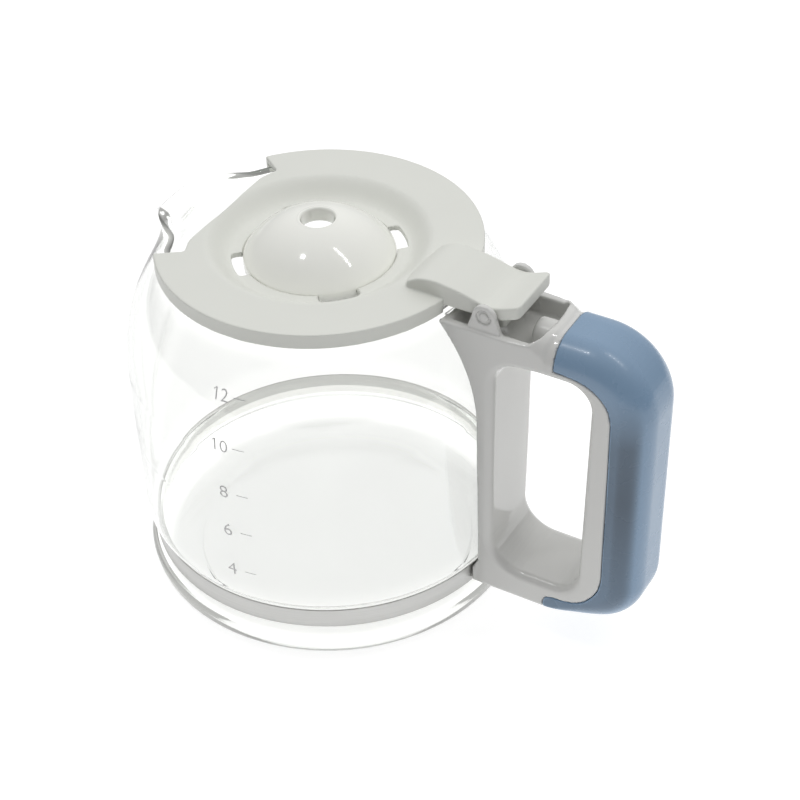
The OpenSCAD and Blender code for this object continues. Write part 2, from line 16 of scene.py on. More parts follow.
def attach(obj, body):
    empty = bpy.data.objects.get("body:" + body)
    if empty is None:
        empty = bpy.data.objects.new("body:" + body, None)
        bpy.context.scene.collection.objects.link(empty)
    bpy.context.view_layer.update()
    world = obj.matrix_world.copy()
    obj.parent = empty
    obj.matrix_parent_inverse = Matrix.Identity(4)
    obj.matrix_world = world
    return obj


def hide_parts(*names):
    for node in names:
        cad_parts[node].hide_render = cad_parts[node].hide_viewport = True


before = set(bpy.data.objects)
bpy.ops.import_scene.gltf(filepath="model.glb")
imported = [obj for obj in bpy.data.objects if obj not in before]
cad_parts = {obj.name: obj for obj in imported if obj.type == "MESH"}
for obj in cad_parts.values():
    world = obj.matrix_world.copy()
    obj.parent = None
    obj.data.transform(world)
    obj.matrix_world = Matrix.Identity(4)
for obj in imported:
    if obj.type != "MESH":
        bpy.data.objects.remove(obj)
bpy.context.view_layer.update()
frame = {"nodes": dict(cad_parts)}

LOG = logging.getLogger("coffee_server")
MM = 0.001
Array = np.ndarray
Point2 = tuple[float, float]
Point3 = tuple[float, float, float]
Stops = tuple[Point2, ...]
Mesh = tuple[Array, Array, Array]
Faces = list[list[int]]
Field = Callable[[Array, Array, Array], Array]
Piece = bpy.types.Object
Material = bpy.types.Material
Socket = bpy.types.NodeSocket
Node = bpy.types.Node


class Body(Enum):
    """The rigid bodies that pieces ride on."""

    JUG = "jug"
    LID = "lid"


class Slot(Enum):
    """Names of the material slots."""

    GLASS = "clear_glass"
    BAND = "band_steel"
    SCREW = "screw_steel"
    WHITE = "white_gloss"
    BLUE = "blue_gloss"
    LID = "lid_matte"
    DOME = "dome_gloss"


# Outlines


def ease(low: float, high: float, value: Array) -> Array:
    """Smooth step from 0 at low to 1 at high.

    Args:
        low: Value where the step starts.
        high: Value where the step ends.
        value: Values to map.

    Returns:
        The step at each value.
    """
    t = np.clip((np.asarray(value, float) - low) / (high - low), 0.0, 1.0)
    return t * t * (3.0 - 2.0 * t)


def arc(cx: float, cy: float, r: float, start: float, end: float, n: int = 12) -> list[Point2]:
    """Points of an arc.

    Args:
        cx: Centre's first coordinate.
        cy: Centre's second coordinate.
        r: Radius.
        start: First angle in degrees.
        end: Last angle in degrees.
        n: Number of steps.

    Returns:
        The points in order.
    """
    angles = np.radians(np.linspace(start, end, n + 1))
    return [(cx + r * math.cos(a), cy + r * math.sin(a)) for a in angles]


def filleted(corners: Sequence[Point3], n: int = 8) -> list[Point2]:
    """An open line whose inner corners are rounded.

    Args:
        corners: Points with the rounding radius at each; the ends' radii are not used.
        n: Steps in each rounding.

    Returns:
        The rounded line.
    """
    made: list[Point2] = [corners[0][:2]]
    for before, here, after in zip(corners, corners[1:], corners[2:]):
        p = Vector(here[:2])
        a = (Vector(before[:2]) - p).normalized()
        b = (Vector(after[:2]) - p).normalized()
        half = a.angle(b) / 2.0
        if here[2] <= 0.0 or half > math.radians(89.7):
            made.append(here[:2])
            continue
        centre = p + (a + b).normalized() * (here[2] / math.sin(half))
        reach = here[2] / math.tan(half)
        start, end = p + a * reach - centre, p + b * reach - centre
        turn = start.angle_signed(end)
        for i in range(n + 1):
            q = centre + Matrix.Rotation(-turn * i / n, 2) @ start
            made.append((q.x, q.y))
    made.append(corners[-1][:2])
    return made


def curve_through(points: Sequence[Point2], n: int = 6) -> list[Point2]:
    """A smooth line through points.

    Args:
        points: Points to pass through.
        n: Steps between two points.

    Returns:
        The smooth line.
    """
    p = np.asarray([points[0], *points, points[-1]], float)
    made: list[Point2] = []
    for i in range(1, len(p) - 2):
        for t in np.linspace(0.0, 1.0, n, endpoint=False):
            q = 0.5 * (
                2 * p[i]
                + (p[i + 1] - p[i - 1]) * t
                + (2 * p[i - 1] - 5 * p[i] + 4 * p[i + 1] - p[i + 2]) * t**2
                + (3 * p[i] - p[i - 1] - 3 * p[i + 1] + p[i + 2]) * t**3
            )
            made.append((float(q[0]), float(q[1])))
    made.append(tuple(points[-1]))
    return made


# Distance fields, in millimetres, negative inside


def outline_distance(outline: Sequence[Point2], u: Array, v: Array) -> Array:
    """Signed distance to a closed outline.

    Args:
        outline: The outline's points in order.
        u: First coordinates.
        v: Second coordinates.

    Returns:
        The distance, negative inside.
    """
    best: Any = np.inf
    inside: Any = False
    for (ax, ay), (bx, by) in zip(outline, [*outline[1:], outline[0]]):
        ex, ey = bx - ax, by - ay
        length = ex * ex + ey * ey
        if length < 1e-12:
            continue
        wx, wy = u - ax, v - ay
        t = np.clip((wx * ex + wy * ey) / length, 0.0, 1.0)
        best = np.minimum(best, (wx - ex * t) ** 2 + (wy - ey * t) ** 2)
        if abs(ey) > 1e-12:
            inside = inside ^ (((ay > v) != (by > v)) & (u < ex * (v - ay) / ey + ax))
    return np.where(inside, -1.0, 1.0) * np.sqrt(best)


def line_distance(line: Sequence[Point2], u: Array, v: Array) -> Array:
    """Distance to an open line.

    Args:
        line: The line's points in order.
        u: First coordinates.
        v: Second coordinates.

    Returns:
        The distance.
    """
    best: Any = np.inf
    for (ax, ay), (bx, by) in zip(line, line[1:]):
        ex, ey = bx - ax, by - ay
        wx, wy = u - ax, v - ay
        t = np.clip((wx * ex + wy * ey) / max(ex * ex + ey * ey, 1e-12), 0.0, 1.0)
        best = np.minimum(best, (wx - ex * t) ** 2 + (wy - ey * t) ** 2)
    return np.sqrt(best)


def both(a: Array, b: Array, r: float) -> Array:
    """What two forms share, with the edge between them rounded.

    Args:
        a: Distance to the first form.
        b: Distance to the second form.
        r: Radius of the rounded edge.

    Returns:
        Distance to the shared form.
    """
    return np.minimum(-r, np.maximum(a, b)) + np.hypot(np.maximum(a + r, 0.0), np.maximum(b + r, 0.0))


def joined(a: Array, b: Array, r: float) -> Array:
    """Two forms, at distances a and b, joined with a fillet of radius r."""
    return -both(-np.asarray(a), -np.asarray(b), r)


def cut(a: Array, b: Array, r: float) -> Array:
    """The form at distance a without the one at distance b, with edges of radius r."""
    return both(a, -np.asarray(b), r)


CORNERS = np.array(list(product((0, 1), repeat=3)))
EDGES = [(a, b) for a in range(8) for b in range(a + 1, 8) if np.abs(CORNERS[a] - CORNERS[b]).sum() == 1]


def polygonise(field_of: Field, low: Sequence[float], high: Sequence[float], step: Sequence[float]) -> Mesh:
    """Turns a distance field into an even mesh of four-sided faces that lie on its surface.

    Args:
        field_of: The distance field, in millimetres.
        low: Lowest corner of the room that the form takes.
        high: Highest corner of that room.
        step: Mesh size along each axis.

    Returns:
        The vertices, the faces, and a normal for each vertex.
    """
    size = np.asarray(step, float)
    axes = [np.arange(lo - 1.5 * s, hi + 1.6 * s, s) for lo, hi, s in zip(low, high, size)]
    x, y, z = axes[0][:, None, None], axes[1][None, :, None], axes[2][None, None, :]
    shape = tuple(len(a) for a in axes)
    values = np.ascontiguousarray(np.broadcast_to(field_of(x, y, z), shape))
    solid = values < 0.0
    cells = tuple(n - 1 for n in shape)
    part = [tuple(slice(o, n + o) for o, n in zip(c, cells)) for c in CORNERS]
    filled = sum(solid[p].astype(np.int8) for p in part)
    active = (filled > 0) & (filled < 8)
    number = np.full(cells, -1, np.int64)
    number[active] = np.arange(int(active.sum()))
    corner_values = np.stack([values[p][active] for p in part], axis=1)
    place = np.zeros((corner_values.shape[0], 3))
    count = np.zeros(corner_values.shape[0])
    for a, b in EDGES:
        va, vb = corner_values[:, a], corner_values[:, b]
        hit = (va < 0.0) != (vb < 0.0)
        t = np.where(hit, va / np.where(hit, va - vb, 1.0), 0.0)
        place += hit[:, None] * (CORNERS[a] + t[:, None] * (CORNERS[b] - CORNERS[a]))
        count += hit
    origin = np.array([a[0] for a in axes])
    points = origin + (np.argwhere(active) + place / count[:, None]) * size
    faces = [crossing_faces(solid, number, axis) for axis in range(3)]
    points, normals = settle(field_of, points, 0.6 * float(size.max()))
    return points, np.concatenate(faces), normals


def crossing_faces(solid: Array, number: Array, axis: int) -> Array:
    """Faces across the grid lines of one direction that pass through the surface.

    Args:
        solid: Which grid points are inside.
        number: Vertex number of each cell, or -1.
        axis: Direction of the grid lines.

    Returns:
        Faces as rows of four vertex numbers.
    """
    turned = np.moveaxis(solid, axis, 0)
    cell = np.moveaxis(number, axis, 0)
    if axis == 1:
        turned, cell = np.swapaxes(turned, 1, 2), np.swapaxes(cell, 1, 2)
    first, second = turned[:-1, 1:-1, 1:-1], turned[1:, 1:-1, 1:-1]
    i, j, k = np.nonzero(first != second)
    quads = np.stack([cell[i, j, k], cell[i, j + 1, k], cell[i, j + 1, k + 1], cell[i, j, k + 1]], axis=1)
    outward = first[i, j, k]
    return np.where(outward[:, None], quads, quads[:, ::-1])


def settle(field_of: Field, points: Array, reach: float) -> tuple[Array, Array]:
    """Moves points onto the surface of a field.

    Args:
        field_of: The distance field.
        points: Points near its surface.
        reach: The furthest that a point may move in one go.

    Returns:
        The moved points and the surface normals there.
    """
    h = 0.04
    slope = np.zeros_like(points)
    for turn in range(4):
        here = field_of(*points.T)
        for axis in range(3):
            shift = np.zeros(3)
            shift[axis] = h
            slope[:, axis] = (field_of(*(points + shift).T) - field_of(*(points - shift).T)) / (2 * h)
        length = np.maximum(np.linalg.norm(slope, axis=1), 0.3)
        if turn < 3:
            points = points - slope * np.clip(here / length**2, -reach, reach)[:, None]
    return points, slope / length[:, None]


# Meshes


def new_piece(name: str, points: Array, faces: Any, normals: Array | None = None) -> Piece:
    """Makes a smooth-shaded mesh object from points in millimetres.

    Args:
        name: Name of the piece.
        points: Vertices in millimetres.
        faces: Faces as rows of vertex numbers.
        normals: Surface normals at the vertices, if known.

    Returns:
        The object, linked to the scene.
    """
    mesh = bpy.data.meshes.new(name)
    rows = faces.tolist() if isinstance(faces, np.ndarray) else [list(f) for f in faces]
    mesh.from_pydata((np.asarray(points, float) * MM).tolist(), [], rows)
    mesh.validate()
    mesh.shade_smooth()
    if normals is not None and len(mesh.vertices) == len(normals):
        mesh.normals_split_custom_set_from_vertices(normals.tolist())
    piece = bpy.data.objects.new(name, mesh)
    bpy.context.scene.collection.objects.link(piece)
    return piece


def full_turn(steps: int) -> Array:
    """Even angles of a full turn, in radians."""
    return np.linspace(0.0, 2.0 * np.pi, steps, endpoint=False)


def turned_mesh(section: Sequence[Point2], angles: Array, closed: bool) -> tuple[Array, Faces]:
    """A section turned round the Z axis.

    Args:
        section: Points (radius, height); a radius of 0 makes a pole.
        angles: Angles of a full turn, in radians.
        closed: Whether the section's last point joins its first.

    Returns:
        Vertices in millimetres and faces.
    """
    steps = len(angles)
    points: list[Point3] = []
    rings: Faces = []
    for r, z in section:
        if r < 1e-6:
            rings.append([len(points)] * steps)
            points.append((0.0, 0.0, z))
        else:
            rings.append(list(range(len(points), len(points) + steps)))
            points.extend((r * math.cos(a), r * math.sin(a), z) for a in angles)
    pairs = list(zip(rings, rings[1:])) + ([(rings[-1], rings[0])] if closed else [])
    return np.array(points), ring_faces(pairs, steps)


def ring_faces(pairs: Sequence[tuple[list[int], list[int]]], steps: int) -> Faces:
    """Faces between pairs of rings; a pole's repeated vertices make triangles.

    Args:
        pairs: Pairs of rings of vertex numbers.
        steps: Vertices in a ring.

    Returns:
        The faces.
    """
    faces: Faces = []
    for a, b in pairs:
        for k in range(steps):
            n = (k + 1) % steps
            face = list(dict.fromkeys([a[k], a[n], b[n], b[k]]))
            if len(face) > 2:
                faces.append(face)
    return faces


# Finishes

NOISE_MIDDLE = (0.3, 0.7)
# painted shade: lean and range of the normals that count as the flat sides
SHADE_SIDE_LEAN = (0.944, 0.33)
SHADE_SIDE_FLAT = (0.82, 1.0)
# painted light: range that marks faces looking at the upright axis
GLOW_INWARD = (0.0, -0.03)


class NodeBoard:
    """A material's node tree, with short calls to add and join nodes."""

    def __init__(self, name: str) -> None:
        """Starts an empty material with a principled shader.

        Args:
            name: Name of the material.
        """
        self.material = bpy.data.materials.new(name)
        self.material.use_nodes = True
        self.tree = self.material.node_tree
        self.tree.nodes.clear()
        self.output = self.add("ShaderNodeOutputMaterial")
        self.shader = self.add("ShaderNodeBsdfPrincipled")
        self.feed(self.shader.outputs["BSDF"], self.output.inputs["Surface"])

    def add(self, kind: str, **values: Any) -> Node:
        """Adds a node.

        Args:
            kind: Blender's name of the node type.
            values: Attributes to set on it.

        Returns:
            The node.
        """
        node = self.tree.nodes.new(kind)
        for key, value in values.items():
            setattr(node, key, value)
        return node

    def feed(self, term: Any, into: Socket) -> None:
        """Links an output to an input, or sets the input to a plain value.

        Args:
            term: An output socket or a value.
            into: The input socket.
        """
        if isinstance(term, Socket):
            self.tree.links.new(term, into)
        else:
            into.default_value = term

    def give(self, **values: Any) -> None:
        """Feeds the shader.

        Args:
            values: Output sockets or values by the input's name, with _ for each space.
        """
        for name, term in values.items():
            self.feed(term, self.shader.inputs[name.replace("_", " ")])

    def where(self, kind: str) -> Socket:
        """Gives the place or the normal, by kind, in the piece's own coordinates."""
        return self.add("ShaderNodeTexCoord").outputs[kind]

    def axes(self, kind: str) -> list[Socket]:
        """Splits a place or a normal.

        Args:
            kind: Which of the two, by Blender's name.

        Returns:
            Its X, Y and Z.
        """
        split = self.add("ShaderNodeSeparateXYZ")
        self.feed(self.where(kind), split.inputs[0])
        return list(split.outputs)

    def reckon(self, operation: str, *terms: Any, kind: str = "ShaderNodeMath") -> Socket:
        """Adds a sum.

        Args:
            operation: Blender's name of the sum.
            terms: Output sockets or values.
            kind: The node type, for numbers or for vectors.

        Returns:
            The result.
        """
        node = self.add(kind, operation=operation)
        for term, into in zip(terms, node.inputs):
            self.feed(term, into)
        return node.outputs["Value"]

    def ranged(self, value: Socket, start: Point2, end: Point2 = (0.0, 1.0), kind: str = "LINEAR") -> Socket:
        """Maps a value from one range to another.

        Args:
            value: The value.
            start: The range that it comes in.
            end: The range to map it to.
            kind: Blender's name of the step between the ends.

        Returns:
            The mapped value.
        """
        node = self.add("ShaderNodeMapRange", interpolation_type=kind)
        for name, number in zip(("From Min", "From Max", "To Min", "To Max"), (*start, *end)):
            node.inputs[name].default_value = number
        self.feed(value, node.inputs["Value"])
        return node.outputs["Result"]

    def ramp(self, value: Socket, stops: Sequence[tuple[float, Sequence[float]]]) -> Socket:
        """Adds a colour that follows a value.

        Args:
            value: The value, from 0 to 1.
            stops: Values and the colours there, from low to high.

        Returns:
            The colour.
        """
        node = self.add("ShaderNodeValToRGB")
        marks = node.color_ramp.elements
        while len(marks) < len(stops):
            marks.new(0.5)
        for mark, (position, colour) in zip(marks, stops):
            mark.position, mark.color = position, (*colour, 1.0)
        self.feed(value, node.inputs["Fac"])
        return node.outputs["Color"]

    def noise(self, per_mm: float, detail: float, stretch: Point3 = (1.0, 1.0, 1.0)) -> Socket:
        """Adds a noise in the piece's own coordinates.

        Args:
            per_mm: Grains in a millimetre.
            detail: Octaves.
            stretch: Scale along each axis.

        Returns:
            The noise.
        """
        mapping = self.add("ShaderNodeMapping")
        noise = self.add("ShaderNodeTexNoise")
        self.feed(self.where("Object"), mapping.inputs["Vector"])
        self.feed(stretch, mapping.inputs["Scale"])
        self.feed(mapping.outputs["Vector"], noise.inputs["Vector"])
        self.feed(per_mm / MM, noise.inputs["Scale"])
        self.feed(detail, noise.inputs["Detail"])
        return noise.outputs["Fac"]

    def spread(self, noise: Socket, low: float, high: float) -> Socket:
        """Maps the middle of a noise to a range from low to high."""
        return self.ranged(noise, NOISE_MIDDLE, (low, high))

    def tint(self, noise: Socket, dark: Sequence[float], light: Sequence[float]) -> None:
        """Colours the shader from dark to light by a noise."""
        self.give(Base_Color=self.ramp(noise, list(zip(NOISE_MIDDLE, (dark, light)))))

    def by_height(self, stops: Stops) -> Socket:
        """Adds a value that follows the height on the piece.

        Args:
            stops: Heights in millimetres and the values there, from low to high.

        Returns:
            The value as a grey.
        """
        low, high = stops[0][0], stops[-1][0]
        share = self.ranged(self.axes("Object")[2], (low * MM, high * MM))
        return self.ramp(share, [((z - low) / (high - low), (value,) * 3) for z, value in stops])

    def mix_in(self, colour: Any, share: Any, blend: str) -> None:
        """Mixes a colour into the shader's own.

        Args:
            colour: The colour to mix in.
            share: How much of it.
            blend: Blender's name of the way to mix.
        """
        mix = self.add("ShaderNodeMix", data_type="RGBA", blend_type=blend)
        own = self.shader.inputs["Base Color"]
        self.feed(share, mix.inputs["Factor"])
        self.feed(own.links[0].from_socket, mix.inputs["A"])
        self.feed(colour, mix.inputs["B"])
        self.feed(mix.outputs["Result"], own)

    def paint_side_shade(self, stops: Stops, tone: Sequence[float]) -> None:
        """Paints shade on the flat of both sides, a little behind their widest line, as a darker tone.

        Args:
            stops: Heights in millimetres and the share of the painted shade there.
            tone: The colour of the painted shade.
        """
        # painted shade: a darker tone mixed into the base colour where the normal faces along Y, by height
        x, y, _ = self.axes("Normal")
        across, back = SHADE_SIDE_LEAN
        lean = self.reckon("MULTIPLY", x, back)
        side = self.reckon("MULTIPLY_ADD", self.reckon("ABSOLUTE", y), across, lean)
        flat = self.ranged(side, SHADE_SIDE_FLAT, kind="SMOOTHSTEP")
        self.mix_in((*tone, 1.0), self.reckon("MULTIPLY", flat, self.by_height(stops)), "MIX")

    def paint_inner_glow(self, stops: Stops) -> None:
        """Paints a faint glow of light on the faces that look at the upright axis.

        Args:
            stops: Heights in millimetres and the strength of the painted glow there.
        """
        # painted light: emission on the faces that look at the axis, by height
        facing, place = self.where("Normal"), self.where("Object")
        outward = self.reckon("DOT_PRODUCT", facing, place, kind="ShaderNodeVectorMath")
        inside = self.ranged(outward, GLOW_INWARD)
        self.give(Emission_Strength=self.reckon("MULTIPLY", inside, self.by_height(stops)))

    def bump(self, noise: Socket, depth_mm: float) -> None:
        """Gives the surface a relief from a noise.

        Args:
            noise: The noise.
            depth_mm: Height of the relief.
        """
        bump = self.add("ShaderNodeBump")
        for name, term in (("Strength", 1.0), ("Distance", depth_mm * MM), ("Height", noise)):
            self.feed(term, bump.inputs[name])
        self.give(Normal=bump.outputs["Normal"])


@dataclass(frozen=True)
class MouldedPlastic:
    """A moulded plastic: tone, gloss and surface grain, with optional painted shade on its flat sides and an
    optional glow.
    """

    name: str
    tone: Point3
    mottle: float
    rough: Point2
    grain_per_mm: float
    grain_depth: float
    coat: float
    # painted shade: heights and shares of a darker tone on the flat sides
    side_shade: Stops = ()
    side_shade_share: float = 0.25
    glow: float = 0.0

    def material(self) -> Material:
        """Builds the node material.

        Returns:
            The material.
        """
        board = NodeBoard(self.name)
        dark = [c * (1.0 - self.mottle) for c in self.tone]
        light = [min(1.0, c * (1.0 + self.mottle)) for c in self.tone]
        board.tint(board.noise(0.035, 3.0), dark, light)
        board.give(Roughness=board.spread(board.noise(0.09, 4.0), *self.rough), IOR=1.5)
        board.bump(board.noise(self.grain_per_mm, 2.0), self.grain_depth)
        board.give(Coat_Weight=self.coat, Coat_Roughness=0.06)
        # painted shade on the flat sides
        if self.side_shade:
            board.paint_side_shade(self.side_shade, [c * self.side_shade_share for c in self.tone])
        if self.glow:
            board.give(Emission_Color=(1.0, 1.0, 1.0, 1.0), Emission_Strength=self.glow)
        return board.material


@dataclass(frozen=True)
class ClearGlass:
    """Blown clear glass with a faint tint in its depth, a painted glow at its rim and base edge, and painted
    shade on its wall.
    """

    name: str = "clear_jug_glass"
    ior: float = 1.47
    tint: Point3 = (0.85, 0.945, 0.86)
    density: float = 24.0
    surface: tuple[Point3, Point3] = ((0.982, 0.981, 0.977), (0.992, 0.991, 0.987))
    # glow: colour of the painted light
    glow: Point3 = (1.0, 0.998, 0.97)
    # painted light: glow strength by height, lifting the rim and the base edge
    painted_glow: Stops = (
        (0.0, 0.12), (10.0, 0.12), (15.0, 0.05), (27.0, 0.05), (36.0, 0.0), (131.0, 0.0), (139.0, 0.13),
    )
    # base_edge: radius plus height where the painted glow begins
    base_edge: Point2 = (67.0, 73.0)
    # painted shade: the wall above the base a little darker than the base
    painted_wall_shade: Stops = ((0.0, 1.0), (4.0, 1.0), (10.0, 0.975), (150.0, 0.975))

    def material(self) -> Material:
        """Builds the node material.

        Returns:
            The material.
        """
        board = NodeBoard(self.name)
        board.tint(board.noise(0.02, 2.0), *self.surface)
        # painted shade on the wall, multiplied into the surface tint
        board.mix_in(board.by_height(self.painted_wall_shade), 1.0, "MULTIPLY")
        board.give(Roughness=board.spread(board.noise(0.05, 3.0), 0.0, 0.012))
        board.bump(board.noise(0.022, 1.0), 0.10)
        # painted light: emission at the rim and the base edge
        x, y, z = board.axes("Object")
        squares = board.reckon("MULTIPLY_ADD", x, x, board.reckon("MULTIPLY", y, y))
        along = board.reckon("ADD", board.reckon("SQRT", squares), z)
        wall = board.ranged(along, (self.base_edge[0] * MM, self.base_edge[1] * MM))
        painted_glow = board.reckon("MULTIPLY", wall, board.by_height(self.painted_glow))
        board.give(Transmission_Weight=1.0, IOR=self.ior)
        board.give(Emission_Color=(*self.glow, 1.0), Emission_Strength=painted_glow)
        depth = board.add("ShaderNodeVolumeAbsorption")
        board.feed((*self.tint, 1.0), depth.inputs["Color"])
        board.feed(self.density, depth.inputs["Density"])
        board.feed(depth.outputs["Volume"], board.output.inputs["Volume"])
        return board.material


@dataclass(frozen=True)
class DrawnSteel:
    """Bright steel with fine lines along its drawing direction, and an optional painted glow on its inner
    faces.
    """

    name: str
    tone: Point3
    rough: Point2
    stretch: Point3
    # inside: heights and strengths of a painted glow on the faces that look at the axis
    inside: Stops = ()

    def material(self) -> Material:
        """Builds the node material.

        Returns:
            The material.
        """
        board = NodeBoard(self.name)
        lines = board.noise(1.0, 3.0, self.stretch)
        board.tint(lines, [c * 0.86 for c in self.tone], self.tone)
        board.give(Roughness=board.spread(board.noise(0.6, 3.0, self.stretch), *self.rough), Metallic=1.0)
        board.bump(lines, 0.012)
        # painted light: a glow on the faces that look at the axis
        if self.inside:
            board.give(Emission_Color=(1.0, 0.995, 0.98, 1.0))
            board.paint_inner_glow(self.inside)
        return board.material


@dataclass(frozen=True)
class PrintedInk:
    """Fired grey ink, a little uneven."""

    name: str = "fired_grey_ink"
    tone: Point3 = (0.58, 0.58, 0.58)

    def material(self) -> Material:
        """Builds the node material.

        Returns:
            The material.
        """
        board = NodeBoard(self.name)
        board.tint(board.noise(1.6, 3.0), [c * 0.8 for c in self.tone], [c * 1.25 for c in self.tone])
        board.give(Roughness=board.spread(board.noise(2.0, 2.0), 0.45, 0.6))
        return board.material


@dataclass(frozen=True)
class FinishSet:
    """Every finish of the server, made once."""

    glass: Material
    band: Material
    screw: Material
    white: Material
    blue: Material
    lid: Material
    dome: Material
    ink: Material

    @classmethod
    def make(cls) -> "FinishSet":
        """Builds all the materials.

        Returns:
            The finishes.
        """
        made = {
            "glass": ClearGlass(),
            "band": DrawnSteel(
                "drawn_band_steel", (0.62, 0.62, 0.605), (0.30, 0.46), (0.05, 0.05, 9.0),
                # painted light: a glow on the band's inner face, seen through the glass
                inside=((16.2, 0.55), (19.2, 0.55), (19.8, 0.17), (24.6, 0.17), (26.0, 0.0)),
            ),
            "screw": DrawnSteel("bright_screw_steel", (0.62, 0.62, 0.61), (0.20, 0.36), (2.0, 2.0, 2.0)),
            "white": MouldedPlastic(
                "white_gloss_moulding", (0.70, 0.70, 0.68), 0.008, (0.10, 0.18), 0.5, 0.002, 0.25,
            ),
            "blue": MouldedPlastic(
                "blue_satin_moulding", (0.228, 0.345, 0.492), 0.008, (0.24, 0.30), 0.6, 0.002, 0.12,
                # painted shade: the grip shell's flat sides darker, most at mid-height
                side_shade=((10.0, 0.5), (45.0, 0.7), (80.0, 0.9), (104.0, 0.8), (124.0, 0.0)),
            ),
            "lid": MouldedPlastic(
                "matte_lid_moulding", (0.775, 0.785, 0.735), 0.008, (0.44, 0.54), 0.8, 0.006, 0.0,
            ),
            "dome": MouldedPlastic(
                "gloss_dome_moulding", (0.95, 0.955, 0.90), 0.008, (0.07, 0.12), 0.5, 0.002, 0.3,
            ),
            "ink": PrintedInk(),
        }
        return cls(**{use: finish.material() for use, finish in made.items()})


def dress(piece: Piece, finish: Material, body: Body, slot: Slot | None, *nodes: str) -> Piece:
    """Gives a piece its finish, its body and the solids that it stands for.

    Args:
        piece: The piece.
        finish: Its material.
        body: The body that it rides on.
        slot: Not used.
        nodes: Solids that it stands for.

    Returns:
        The piece.
    """
    piece.data.materials.clear()
    piece.data.materials.append(finish)
    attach(piece, body.value)
    if nodes:
        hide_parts(*nodes)
    LOG.info("%s: %d faces on %s", piece.name, len(piece.data.polygons), body.value)
    return piece


# The server's parts, sizes in millimetres


